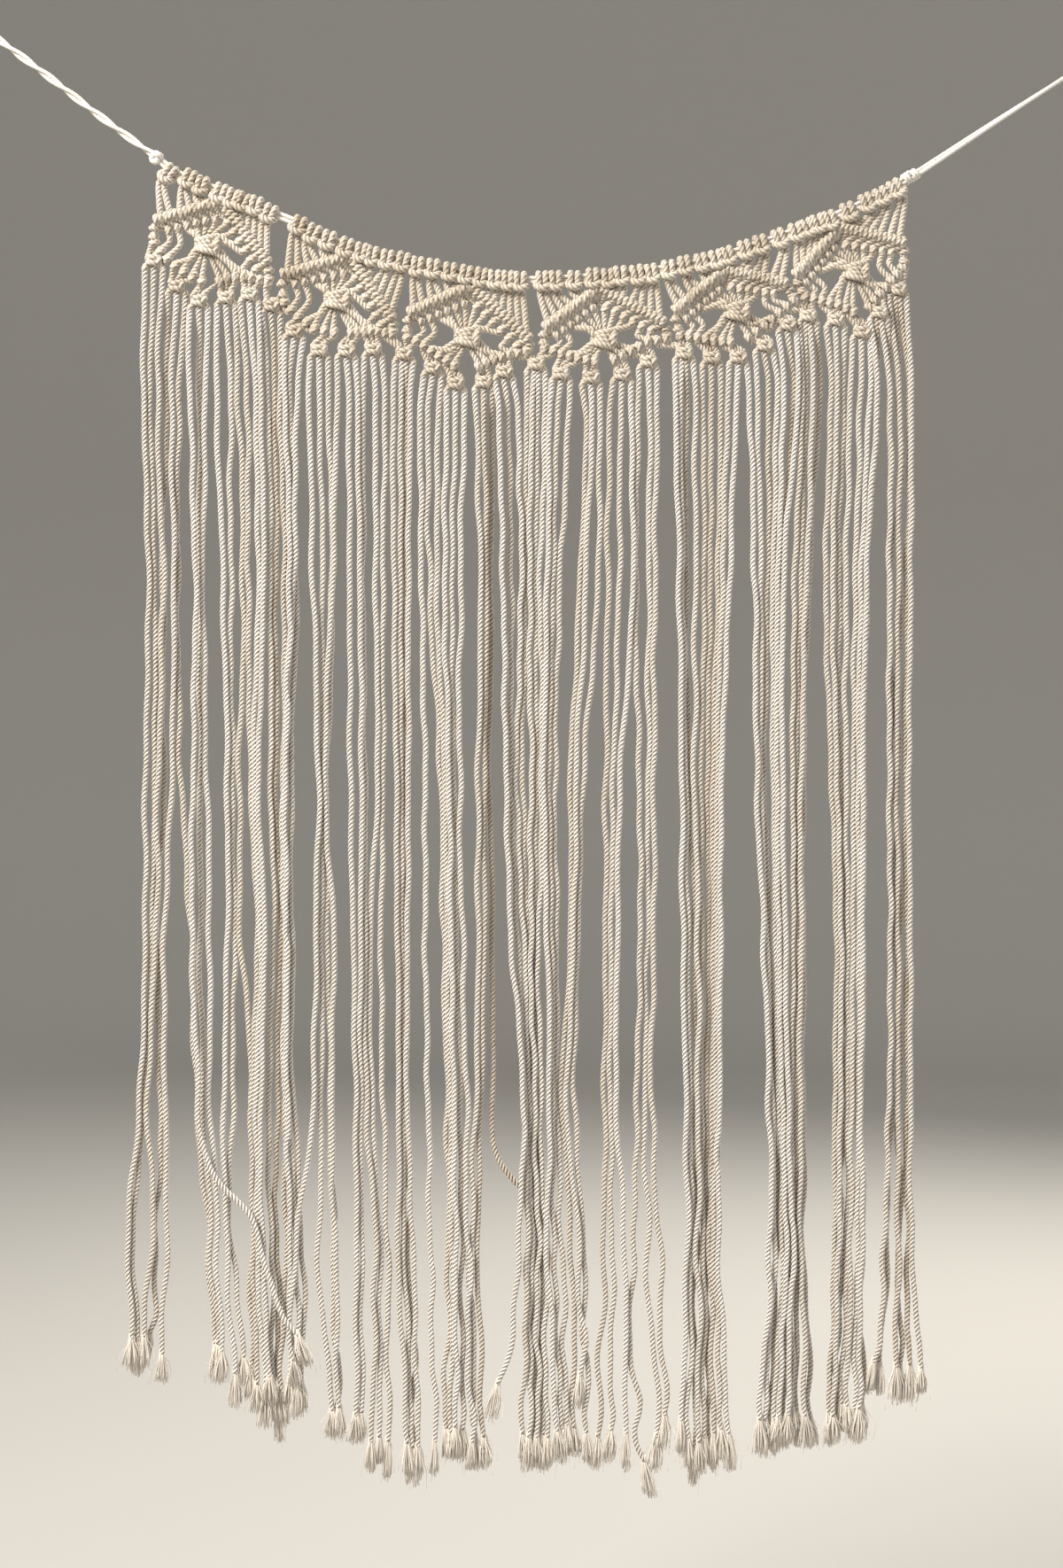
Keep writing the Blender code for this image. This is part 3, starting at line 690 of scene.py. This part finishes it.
# %% Where each strand hangs: its columns at six heights, and its tuft
HEIGHTS = [420, 660, 900, 1060, 1230, 1400]
STRANDS = [
    (162, 168, 164, 164, 159, 145, 149, 1538), (169, 174, 174, 171, 163, 150, 155, 1541),
    (178, 184, 178, 176, 167, 172, 163, 1536), (187, 182, 183, 176, 180, 176, 168, 1534),
    (194, 197, 193, 185, 186, 188, 183, 1556), (203, 199, 205, 216, 221, 235, 243, 1548),
    (215, 222, 219, 218, 224, 290, 337, 1532), (225, 225, 226, 226, 229, 238, 246, 1545),
    (233, 229, 234, 237, 237, 246, 251, 1552), (244, 252, 257, 257, 253, 252, 266, 1578),
    (259, 260, 262, 264, 262, 260, 275, 1560), (268, 275, 270, 272, 285, 286, 283, 1572),
    (278, 280, 284, 291, 285, 286, 291, 1590), (287, 292, 287, 295, 290, 291, 300, 1598),
    (294, 298, 292, 299, 295, 296, 305, 1580), (301, 305, 306, 309, 303, 306, 309, 1590),
    (309, 311, 311, 316, 312, 312, 312, 1616), (316, 321, 320, 322, 322, 322, 318, 1600),
    (321, 328, 322, 324, 324, 328, 327, 1585), (327, 333, 328, 329, 330, 341, 340, 1586),
    (337, 331, 320, 322, 322, 335, 336, 1590), (349, 354, 360, 357, 352, 338, 332, 1562),
    (360, 364, 363, 363, 363, 366, 375, 1620), (370, 375, 368, 370, 373, 376, 379, 1622),
    (381, 375, 367, 377, 374, 378, 383, 1616), (393, 395, 396, 399, 402, 403, 402, 1625),
    (403, 407, 409, 408, 407, 408, 408, 1622), (410, 409, 411, 412, 413, 424, 419, 1655),
    (423, 424, 426, 417, 419, 428, 428, 1650), (434, 432, 432, 430, 432, 437, 438, 1655),
    (444, 445, 448, 449, 451, 450, 460, 1656), (453, 452, 453, 454, 455, 456, 466, 1662),
    (458, 457, 457, 457, 457, 461, 469, 1655), (464, 461, 461, 460, 459, 466, 472, 1660),
    (475, 476, 480, 480, 483, 486, 491, 1655), (484, 485, 499, 501, 505, 507, 503, 1640),
    (496, 493, 503, 505, 508, 511, 509, 1644), (504, 502, 507, 509, 512, 514, 514, 1638),
    (514, 510, 512, 515, 519, 521, 522, 1642), (524, 520, 519, 522, 526, 528, 533, 1655),
    (537, 543, 540, 540, 538, 532, 536, 1648), (546, 549, 546, 547, 543, 539, 546, 1650),
    (555, 554, 552, 556, 557, 612, 609, 1646), (562, 568, 572, 577, 591, 582, 562, 1588),
    (572, 577, 577, 584, 592, 596, 590, 1646), (583, 589, 583, 592, 597, 600, 597, 1650),
    (595, 593, 590, 596, 600, 604, 600, 1652), (601, 598, 600, 599, 603, 607, 606, 1650),
    (607, 604, 606, 603, 606, 611, 613, 1648), (616, 610, 612, 608, 610, 615, 618, 1650),
    (621, 618, 614, 618, 621, 618, 629, 1642), (630, 624, 620, 623, 624, 625, 634, 1640),
    (643, 632, 626, 628, 628, 634, 640, 1636), (662, 655, 644, 645, 634, 645, 648, 1640),
    (668, 661, 650, 648, 640, 652, 655, 1580), (677, 675, 657, 652, 648, 658, 662, 1645),
    (689, 686, 684, 684, 683, 682, 675, 1650), (701, 699, 692, 690, 689, 691, 690, 1642),
    (712, 715, 699, 697, 695, 705, 707, 1645), (721, 717, 722, 723, 719, 716, 727, 1677),
    (733, 733, 732, 731, 728, 731, 741, 1650), (742, 739, 738, 738, 735, 744, 750, 1625),
    (762, 767, 770, 771, 774, 776, 769, 1630), (768, 770, 774, 776, 778, 780, 777, 1650),
    (775, 774, 779, 784, 786, 785, 784, 1665), (784, 785, 784, 788, 788, 788, 789, 1655),
    (793, 795, 791, 792, 791, 794, 795, 1650), (803, 802, 799, 801, 798, 798, 800, 1652),
    (814, 811, 805, 806, 805, 802, 806, 1645), (822, 815, 809, 809, 808, 806, 814, 1640),
    (832, 823, 813, 812, 811, 810, 822, 1645), (845, 852, 855, 862, 868, 870, 858, 1630),
    (854, 859, 859, 865, 871, 874, 863, 1631), (867, 867, 863, 869, 874, 878, 868, 1627),
    (877, 873, 874, 876, 879, 884, 874, 1630), (884, 878, 877, 879, 882, 887, 879, 1628),
    (896, 881, 880, 883, 886, 891, 884, 1626), (902, 884, 883, 886, 889, 894, 889, 1624),
    (906, 897, 895, 896, 893, 894, 894, 1618), (910, 904, 899, 901, 899, 900, 899, 1620),
    (918, 910, 904, 904, 903, 904, 909, 1626), (926, 913, 907, 907, 907, 908, 915, 1629),
    (938, 932, 940, 945, 943, 943, 936, 1624), (945, 940, 945, 949, 948, 946, 940, 1626),
    (953, 947, 950, 954, 953, 950, 946, 1616), (961, 955, 955, 957, 957, 957, 950, 1612),
    (972, 966, 964, 963, 961, 960, 956, 1614), (983, 972, 969, 970, 968, 968, 964, 1618),
    (989, 977, 973, 973, 971, 972, 969, 1617), (992, 979, 975, 975, 973, 974, 973, 1614),
    (1003, 1004, 1004, 1005, 1004, 998, 986, 1565), (1005, 1006, 1006, 1007, 1006, 1002, 993, 1568),
    (1014, 1014, 1012, 1014, 1014, 1014, 1012, 1571), (1016, 1016, 1014, 1016, 1016, 1016, 1017, 1569),
    (1026, 1025, 1023, 1025, 1025, 1025, 1028, 1570), (1028, 1028, 1026, 1028, 1028, 1029, 1040, 1572),
]
WAYPOINTS = {
    3: [(172, 1480)],
    6: [(223, 1180), (230, 1288), (246, 1327), (284, 1374), (302, 1435), (328, 1492)],
    9: [(258, 1450), (264, 1520)],
    21: [(352, 1268), (338, 1385), (327, 1480), (331, 1530)],
    22: [(361, 1450), (366, 1510)],
    23: [(377, 1465), (381, 1530)],
    42: [(556, 1263), (561, 1303), (582, 1336), (609, 1358)],
    43: [(583, 1440), (577, 1520), (568, 1550)],
    54: [(656, 1470), (662, 1520)],
    59: [(711, 1520), (720, 1585), (716, 1612), (722, 1650)],
    60: [(736, 1520), (743, 1590)],
    90: [(996, 1470), (990, 1525)],
}
FRONT_MOST = {6: -8.5, 43: -6.0, 21: -5.0}
REAR_MOST = {42: 7.5, 15: 3.0, 16: 3.0, 3: 3.0, 32: 3.5, 64: 3.5, 73: 4.0, 76: 4.0, 81: 4.0, 84: 3.5,
             89: 4.0, 91: 4.0, 93: 4.0, 94: 4.0}
print(len(STRANDS), "strands hang in the fringe")

# %% The square knots, and which of them each fringe strand comes from, with its place in it
KNOT_PLACES = [(k, i) for k, (_, _, count) in enumerate(SQUARE_KNOTS) for i in range(count)]
IN_A_MOTIF = len(STRAND_ORDER)
knots = []
for k, (column, row, count) in enumerate(SQUARE_KNOTS):
    knots.append(knot_paths(spot(column, row, KNOT_DEEP[k % len(KNOT_DEEP)]), count))
print("knots tied:", len(knots), "for", len(KNOT_PLACES), "strands")

# %% Finish each motif's strands in their square knots
band = []
for m in range(len(MOTIFS)):
    strands = motif_strands(m)
    for place, i in enumerate(STRAND_ORDER):
        knot, seat = KNOT_PLACES[IN_A_MOTIF * m + place]
        strands[i] += knots[knot][seat]
    band.append(strands)
print("points in the band:", sum(len(s) for strands in band for s in strands))

# %% The six motifs as meshes
BAND_STEP = LAY / 8
chance = np.random.default_rng(11)
motif_pieces = []
for m, strands in enumerate(band):
    # a cord's two strands share the middle of its head's bar, so one line runs through both
    lines = []
    for left, right in zip(strands[::2], strands[1::2]):
        lines.append(smooth_line(left[:0:-1] + right, BAND_STEP))
    tones_and_shades = chance.uniform(0.0, 0.55, len(lines))
    piece = laid_cords(f"knotted_motif_{m + 1}", lines, tight_profile, LAY, tones_and_shades, 20 + m)
    motif_pieces.append(piece)
    metres = sum(long(x) for x in lines) * MM
    print(piece.name, faces_of(piece), "triangles,", round(metres, 2), "m of cord")

# %% The fringe's lines before they are given their depth
LEVEL = 12.0
TUFT = 29.0
CORD_IN_TUFT = 0.72
# in pixels: how near a waypoint takes the place of a measured row, and the first row below a knot
WAYPOINT_REACH = 60
BELOW_KNOT = 18
wave = np.random.default_rng(5)


def strand_points(g):
    """The columns and rows that strand g passes below its knot, down to the top of its tuft."""
    knot, seat = KNOT_PLACES[g]
    *columns, tuft_column, tuft_row = STRANDS[g]
    start = knots[knot][seat][-1][:3]
    rows = list(zip(columns, HEIGHTS))
    extra = WAYPOINTS.get(g, [])
    if extra:
        above, below = extra[0][1] - WAYPOINT_REACH, extra[-1][1] + WAYPOINT_REACH
        rows = [q for q in rows if not above < q[1] < below]
    first = (TOP_EDGE - start[2]) / PIXEL
    rows[0] = (columns[0], max(HEIGHTS[0], first + BELOW_KNOT))
    top_of_tuft = (tuft_column, tuft_row - TUFT / PIXEL * CORD_IN_TUFT)
    rows = sorted(rows + extra + [top_of_tuft], key=lambda q: q[1])
    rows = [q for q in rows if q[1] <= top_of_tuft[1]]
    return start, np.array([spot(*q) for q in rows])


def wavy(z, waves):
    """A gentle wave sideways, as a cord has that was wound on a card."""
    total = np.zeros_like(z)
    for length, size, phase in waves:
        total += size * np.sin(2 * math.pi * z / length + phase)
    return total


COUNT = len(STRANDS)
TOP_LEVEL, LOWEST_LEVEL = 120.0, -1010.0
SIGHT_STEP = 6.0
STRAIGHT_FOR = 90
LOOSE_BELOW, LOOSER_IN, LOOSEST = -650, 250, 1.2
hangs = []
grid = np.arange(TOP_LEVEL, LOWEST_LEVEL, -LEVEL)
seen_at = np.full((COUNT, len(grid)), np.nan)
depth = np.zeros((COUNT, len(grid)))
for g in range(COUNT):
    start, points = strand_points(g)
    line = smooth_line(np.vstack([start, points]), SIGHT_STEP)
    order = np.argsort(line[:, 2])
    inside = (grid < start[2] - SIGHT_STEP) & (grid > points[-1][2])
    x = np.interp(grid, line[order, 2], line[order, 0])
    waves = [(wave.uniform(50, 85), wave.uniform(0.3, 0.75), wave.uniform(0, 6.3)),
             (wave.uniform(100, 170), wave.uniform(0.4, 1.2), wave.uniform(0, 6.3))]
    # a strand hangs straight out of its knot, and waves most in its lower part
    fade = np.clip((start[2] - grid) / STRAIGHT_FOR, 0, 1)
    fade = fade * (1 + np.clip((LOOSE_BELOW - grid) / LOOSER_IN, 0, LOOSEST))
    seen_at[g, inside] = (x + wavy(grid, waves) * fade)[inside]
    hangs.append((start, points[-1], inside))
    depth[g] = start[1] + wave.uniform(-1.6, 1.6)
    depth[g] += FRONT_MOST.get(g, 0) + REAR_MOST.get(g, 0)
print("fringe levels:", len(grid))

# %% Give each strand its depth, so that no two lie in each other
CORD_WIDE = 4.7
DEEPEST = 8.6
PASSES = 90
PUSH, NUDGE, HOMING = 0.32, 0.02, 0.01
LEVEL_WITH = 0.02
TOO_NEAR = 1.2
NOWHERE, NOWHERE_APART = 1e6, 50.0
rank = np.arange(COUNT)
behind = np.sign(rank[:, None, None] - rank[None, :, None])
there = np.isfinite(seen_at)
# where a strand isn't, it waits far from all the others
x = np.where(there, seen_at, NOWHERE + NOWHERE_APART * rank[:, None])
home = depth.copy()
for _ in range(PASSES):
    dx = x[:, None, :] - x[None, :, :]
    dy = depth[:, None, :] - depth[None, :, :]
    near = np.abs(dx) < CORD_WIDE
    near[rank, rank] = False
    want = np.sqrt(np.maximum(CORD_WIDE**2 - dx**2, 0))
    sign = np.where(np.abs(dy) > LEVEL_WITH, np.sign(dy), behind)
    push = np.where(near, np.maximum(want - np.abs(dy), 0) * sign, 0)
    depth += PUSH * push.sum(axis=1)
    nudge = np.sign(dx) * NUDGE * np.maximum(want - np.abs(dy), 0)
    shift = np.where(near & (want > np.abs(dy)), nudge, 0)
    x += np.where(there, shift.sum(axis=1), 0)
    smooth = depth.copy()
    smooth[:, 1:-1] = 0.25 * depth[:, :-2] + 0.5 * depth[:, 1:-1] + 0.25 * depth[:, 2:]
    depth = np.clip(smooth + HOMING * (home - smooth), -DEEPEST, DEEPEST)
left_over = (near & (want - np.abs(dy) > TOO_NEAR)).sum() / 2
print("pairs still closer than they should be:", int(left_over), "of", int(near.sum() / 2))

# %% The fringe as meshes, one for the strands of each motif
FRINGE_STEP = LAY / 7
IN_THE_KNOT = 2.5
TIP_THICK = 0.9
# a strand further back is given painted shade, and each cord is a little lighter or darker at random
MEAN_TONE, PAINTED_SHADE_BY_DEPTH, OWN_TONE = 0.3, 0.1, (-0.3, 0.35)
fringe_pieces, tips = [], []
for m in range(len(MOTIFS)):
    lines, tones_and_shades = [], []
    for g in range(IN_A_MOTIF * m, IN_A_MOTIF * (m + 1)):
        start, foot, keep = hangs[g]
        body = np.stack([x[g, keep], depth[g, keep], grid[keep]], axis=1)
        above = start + np.array([0, 0, IN_THE_KNOT])
        top = thick([above, start], KNOT_THICK)
        end = np.array([foot[0], depth[g, keep][-1], foot[2]])
        line = smooth_line(top + thick(body[1:-1], 1.0) + thick([end], TIP_THICK), FRINGE_STEP)
        lines.append(line)
        tips.append((line[-4, :3], line[-1, :3]))
        tone_and_shade = MEAN_TONE + PAINTED_SHADE_BY_DEPTH * np.median(depth[g, keep]) + wave.uniform(*OWN_TONE)
        tones_and_shades.append(float(np.clip(tone_and_shade, 0, 1)))
    piece = laid_cords(f"fringe_strands_{m + 1}", lines, ply_profile, LAY, tones_and_shades, 40 + m)
    fringe_pieces.append(piece)
    metres = sum(long(q) for q in lines) * MM
    print(piece.name, faces_of(piece), "triangles,", round(metres, 2), "m")

# %% [markdown]
# ## The frayed ends
#
# Each strand ends in a tuft: its last three centimetres were combed out, so the plies open into
# fine fibres that flare, wave a little and end raggedly. Each fibre is a thin three-sided hair.
# A modeller might use a hair system, but plain curves stay in the exported mesh.

# %% Tufts
fibre_profile = profile("fibre_profile", [0.62, 0.62, 0.62])
FIBRES = 34
STRAYS = 3
FIBRE_STEP = 6.5
FIBRE_AT = (-0.16, 0.06, 0.3, 0.55, 0.8, 1.0)
FIBRE_LAY = 400.0
IN_THE_CORD = 1.9
ALONG_CORD, STRAIGHT_DOWN = 0.45, 0.55
NEXT_ROUND = 2.4
STRAY_FLARE, STRAY_THICK = 1.9, 0.45
comb = np.random.default_rng(9)


def combed(tip, heading, length, flare, out, a, strength):
    """One fibre of a tuft: hidden in the cord at first, then flared by its place out from the middle."""
    side = np.array([math.cos(a), 0.5 * math.sin(a), 0.0])
    sway = np.array([comb.uniform(-1, 1), comb.uniform(-0.3, 0.3), 0.0]) * 1.3
    rows = []
    for t in FIBRE_AT:
        open_by = min(1.0, max(0.0, t) * 1.9)
        spread = IN_THE_CORD * out + flare * out * open_by**1.2 * (1.0 + 0.12 * math.sin(4.0 * t + a))
        fall = heading * length * t * ALONG_CORD + np.array([0, 0, -length * t * STRAIGHT_DOWN])
        place = tip + fall + side * spread + sway * math.sin(3.2 * t + 2 * a) * max(t, 0)
        rows.append(np.append(place, strength * (1.15 - 0.6 * max(t, 0))))
    return smooth_line(rows, FIBRE_STEP)


tuft_pieces = []
for m in range(len(MOTIFS)):
    lines, tones_and_shades = [], []
    for before, tip in tips[IN_A_MOTIF * m: IN_A_MOTIF * (m + 1)]:
        heading = unit(tip - before)
        flare = comb.uniform(2.2, 5.8)
        length = TUFT * comb.uniform(0.8, 1.2)
        for f in range(FIBRES):
            out = math.sqrt((f + 0.5) / FIBRES)
            reach = length * comb.uniform(0.8, 1.0) * (1.06 - 0.14 * out)
            a = NEXT_ROUND * f + comb.uniform(-0.4, 0.4)
            lines.append(combed(tip, heading, reach, flare, out, a, 1.0))
            tones_and_shades.append(comb.uniform(0, 0.6))
        for _ in range(STRAYS):
            reach = length * comb.uniform(0.7, 1.15)
            a = comb.uniform(0, 6.3)
            lines.append(combed(tip, heading, reach, flare * STRAY_FLARE, 1.0, a, STRAY_THICK))
            tones_and_shades.append(comb.uniform(0, 0.6))
    piece = laid_cords(f"frayed_ends_{m + 1}", lines, fibre_profile, FIBRE_LAY, tones_and_shades, 60 + m)
    tuft_pieces.append(piece)
    print(piece.name, faces_of(piece), "triangles")

# %% [markdown]
# ## Finishes
#
# The cords are raw, unbleached cotton, spun and twisted in three plies: a warm cream, with painted
# shade of a deeper straw in the grooves between plies, quite without gloss, with the faint sheen that
# loose fibres give at the edges. The rope is the same cotton, laid smooth and a little whiter.

# %% A function for colours, and some for nodes
def linear(code):
    """An sRGB hex colour as Blender's linear numbers."""
    parts = [int(code[i:i + 2], 16) / 255 for i in (1, 3, 5)]
    return [p / 12.92 if p <= 0.04045 else ((p + 0.055) / 1.055) ** 2.4 for p in parts] + [1.0]


def add_node(tree, kind, settings=None, feeds=None):
    """Adds one node. A feed is a plain value, or the socket of another node."""
    node = tree.nodes.new(kind)
    for name, value in (settings or {}).items():
        setattr(node, name, value)
    for name, value in (feeds or {}).items():
        if isinstance(value, bpy.types.NodeSocket):
            tree.links.new(value, node.inputs[name])
        else:
            node.inputs[name].default_value = value
    return node


def bare_finish(name):
    """A material and its node tree, still empty."""
    finish = bpy.data.materials.new(name)
    finish.use_nodes = True
    finish.node_tree.nodes.clear()
    return finish, finish.node_tree


def attribute(tree, name):
    """A value that the mesh carries at each of its points."""
    return add_node(tree, "ShaderNodeAttribute", {"attribute_name": name}).outputs["Fac"]


def noise(tree, place, scale, detail):
    """Noise over the piece, as one value."""
    feeds = {"Vector": place, "Scale": scale, "Detail": detail}
    return add_node(tree, "ShaderNodeTexNoise", None, feeds).outputs["Fac"]


def worked_out(tree, operation, a, b):
    """One value from two."""
    return add_node(tree, "ShaderNodeMath", {"operation": operation}, {0: a, 1: b}).outputs[0]


def blend(tree, factor, a, b, how="MIX"):
    """One colour from two."""
    settings = {"data_type": "RGBA", "blend_type": how}
    return add_node(tree, "ShaderNodeMix", settings, {"Factor": factor, 6: a, 7: b}).outputs[2]


def cloth(tree, feeds):
    """The shader itself, as the tree's result."""
    shader = add_node(tree, "ShaderNodeBsdfPrincipled", None, feeds)
    add_node(tree, "ShaderNodeOutputMaterial", None, {"Surface": shader.outputs[0]})


print("mid grey in linear numbers:", round(linear("#808080")[0], 3))

# %% Twisted raw cotton
SLUB_SCALE, FIBRE_SCALE = 45.0, 1600.0
GROOVE_POWER = 1.45
SHADE_SHARE = 0.62
FUZZ = 0.0001


def twisted_cotton(name, ridge, groove_shade, shade, groove_depth):
    """Raw cotton cord: cream on the plies' ridges, with painted shade in their grooves."""
    finish, tree = bare_finish(name)
    place = add_node(tree, "ShaderNodeTexCoord").outputs["Object"]
    groove, tone_and_shade = attribute(tree, "groove"), attribute(tree, "tone_and_shade")
    # slubs and stains a few centimetres long, and fibres of 0.6 mm, about as fine as can show
    slub, fibre = noise(tree, place, SLUB_SCALE, 3.0), noise(tree, place, FIBRE_SCALE, 2.0)
    sunk = worked_out(tree, "POWER", groove, GROOVE_POWER)
    uneven = add_node(
        tree, "ShaderNodeMapRange", None,
        {"Value": slub, "From Min": 0.3, "From Max": 0.7, "To Min": 0.0, "To Max": 0.4},
    ).outputs[0]
    # the shade colour comes in with the slubs, each cord's own darkness and, in the fringe, painted shade by
    # depth
    share = worked_out(tree, "MULTIPLY", worked_out(tree, "ADD", uneven, tone_and_shade), SHADE_SHARE)
    # painted shade: the grooves between plies take the darker colour, beside their real bump relief
    cream_and_groove_shade = blend(tree, sunk, linear(ridge), linear(groove_shade))
    relief = worked_out(tree, "MULTIPLY", sunk, -groove_depth)
    height = worked_out(tree, "ADD", relief, worked_out(tree, "MULTIPLY", fibre, FUZZ))
    bump = {"Height": height, "Strength": 1.0, "Distance": 1.0}
    cloth(tree, {
        "Base Color": blend(tree, share, cream_and_groove_shade, linear(shade), "MULTIPLY"),
        "Normal": add_node(tree, "ShaderNodeBump", None, bump).outputs[0],
        "Roughness": 0.92, "Sheen Weight": 0.25, "Sheen Roughness": 0.6, "Specular IOR Level": 0.2,
    })
    return finish


cord_cotton = twisted_cotton("raw_cotton_three_ply", "#FBF8F3", "#8A7B65", "#CFC3B2", 0.0010)
# the band's cotton is a darker copy of the fringe's: painted shade that evens out the stronger light on the
# band
tight_cotton_painted_shade = twisted_cotton("raw_cotton_pulled_tight_painted_shade", "#E0D8CC", "#A89A84", "#BBAC98", 0.0007)
rope_cotton = twisted_cotton("smooth_cotton_rope", "#F5F2ED", "#E2DBD0", "#D8CEC0", 0.00012)
print("nodes in a twisted cotton:", len(cord_cotton.node_tree.nodes))

# %% Combed cotton fibre
STREAKS = (900.0, 900.0, 70.0)


def combed_cotton(name, light, shade):
    """The same cotton with its twist combed out: paler, streaked along the fibres, and matt."""
    finish, tree = bare_finish(name)
    place = add_node(tree, "ShaderNodeTexCoord").outputs["Object"]
    drawn = add_node(tree, "ShaderNodeMapping", None, {"Vector": place, "Scale": STREAKS}).outputs[0]
    share = worked_out(tree, "MULTIPLY", noise(tree, drawn, 1.0, 2.0), attribute(tree, "tone_and_shade"))
    cloth(tree, {
        "Base Color": blend(tree, share, linear(light), linear(shade)),
        "Roughness": 0.95, "Sheen Weight": 0.3, "Sheen Roughness": 0.6, "Specular IOR Level": 0.15,
    })
    return finish


fibre_cotton = combed_cotton("combed_cotton_fibre", "#E9E1D5", "#B0A18A")
print("finishes:", [m.name for m in (cord_cotton, tight_cotton_painted_shade, rope_cotton, fibre_cotton)])

# %% Put the finishes on, hang each piece from the root, and hide the model's part it stands for
ropes = [rope_left, rope_right, rope_middle, stop_knots, left_end, right_end]
for piece in ropes:
    piece.data.materials.append(rope_cotton)
    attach(piece, "root")
    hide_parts("hanging_rope")
for m, piece in enumerate(motif_pieces):
    piece.data.materials.append(tight_cotton_painted_shade)
    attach(piece, "root")
    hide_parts(f"motif_{m + 1}")
for piece in fringe_pieces + tuft_pieces:
    piece.data.materials.append(fibre_cotton if piece in tuft_pieces else cord_cotton)
    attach(piece, "root")
    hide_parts("fringe")

total = sum(faces_of(o) for o in ropes + motif_pieces + fringe_pieces + tuft_pieces)
print("triangles in all:", total)

# %% [markdown]
# ## The studio
#
# A plain pale room without corners: a floor that turns up into its round side, far enough away to
# stand behind the camera in every view. One large soft light from the upper left, as the
# photograph has, a weak one from the right, and a little light from all round.

# %% The room, in one spun profile
FLOOR = -1.32
ROOM = 8.0
TURN = 2
FLAT = ROOM - TURN
TURN_STEPS = 8
WALL_TALL = 5.0
for helper in (ply_profile, tight_profile, rope_profile, fibre_profile):
    bpy.data.objects.remove(helper)
bpy.ops.object.select_all(action="DESELECT")
bpy.ops.mesh.primitive_circle_add(vertices=64, radius=FLAT, location=(0, 0, FLOOR), fill_type="NGON")
room = bpy.context.object
room.name = "pale_room"
bpy.ops.object.mode_set(mode="EDIT")
bpy.ops.mesh.select_mode(type="FACE")
bpy.ops.mesh.select_all(action="SELECT")
for step in range(TURN_STEPS):
    a, b = (math.radians(90 * s / TURN_STEPS) for s in (step, step + 1))
    grow = (FLAT + TURN * math.sin(b)) / (FLAT + TURN * math.sin(a))
    bpy.ops.mesh.extrude_region_move(
        TRANSFORM_OT_translate={"value": (0, 0, TURN * (math.cos(a) - math.cos(b)))}
    )
    bpy.ops.transform.resize(value=(grow, grow, 1))
bpy.ops.mesh.extrude_region_move(TRANSFORM_OT_translate={"value": (0, 0, WALL_TALL)})
bpy.ops.mesh.delete(type="ONLY_FACE")
bpy.ops.mesh.select_all(action="SELECT")
bpy.ops.mesh.normals_make_consistent(inside=True)
bpy.ops.object.mode_set(mode="OBJECT")
bpy.ops.object.shade_smooth()
room_paint = bpy.data.materials.new("matt_room_paint")
room_paint.use_nodes = True
paint = room_paint.node_tree.nodes["Principled BSDF"]
paint.inputs["Base Color"].default_value = linear("#AEACA7")
paint.inputs["Roughness"].default_value = 0.95
room.data.materials.append(room_paint)
print("room:", len(room.data.polygons), "faces")


# %% Lights
def soft_light(name, place, aim, size, power, colour):
    """A square area light that faces a point."""
    bpy.ops.object.light_add(type="AREA", location=place)
    light = bpy.context.object
    light.name = name
    way = np.array(aim) - np.array(place)
    pitch = math.acos(-unit(way)[2])
    light.rotation_euler = (pitch, 0, math.atan2(way[1], way[0]) - math.pi / 2)
    light.data.size = size
    light.data.energy = power
    light.data.color = linear(colour)[:3]
    return light


HEART_OF_IT = (0.0, 0.0, -0.35)
soft_light("window_light", (-2.0, -1.9, 1.75), HEART_OF_IT, 1.2, 215, "#FFFAF3")
soft_light("fill_light", (2.6, -1.8, 0.2), HEART_OF_IT, 2.0, 26, "#F3F5FF")
soft_light("back_light", (1.5, 2.8, 1.5), HEART_OF_IT, 2.0, 150, "#FFF9F0")
world = bpy.context.scene.world or bpy.data.worlds.new("studio")
bpy.context.scene.world = world
world.use_nodes = True
sky = world.node_tree.nodes["Background"]
sky.inputs["Color"].default_value = linear("#EAE9E8")
sky.inputs["Strength"].default_value = 0.78
bpy.context.scene.view_settings.view_transform = "Standard"
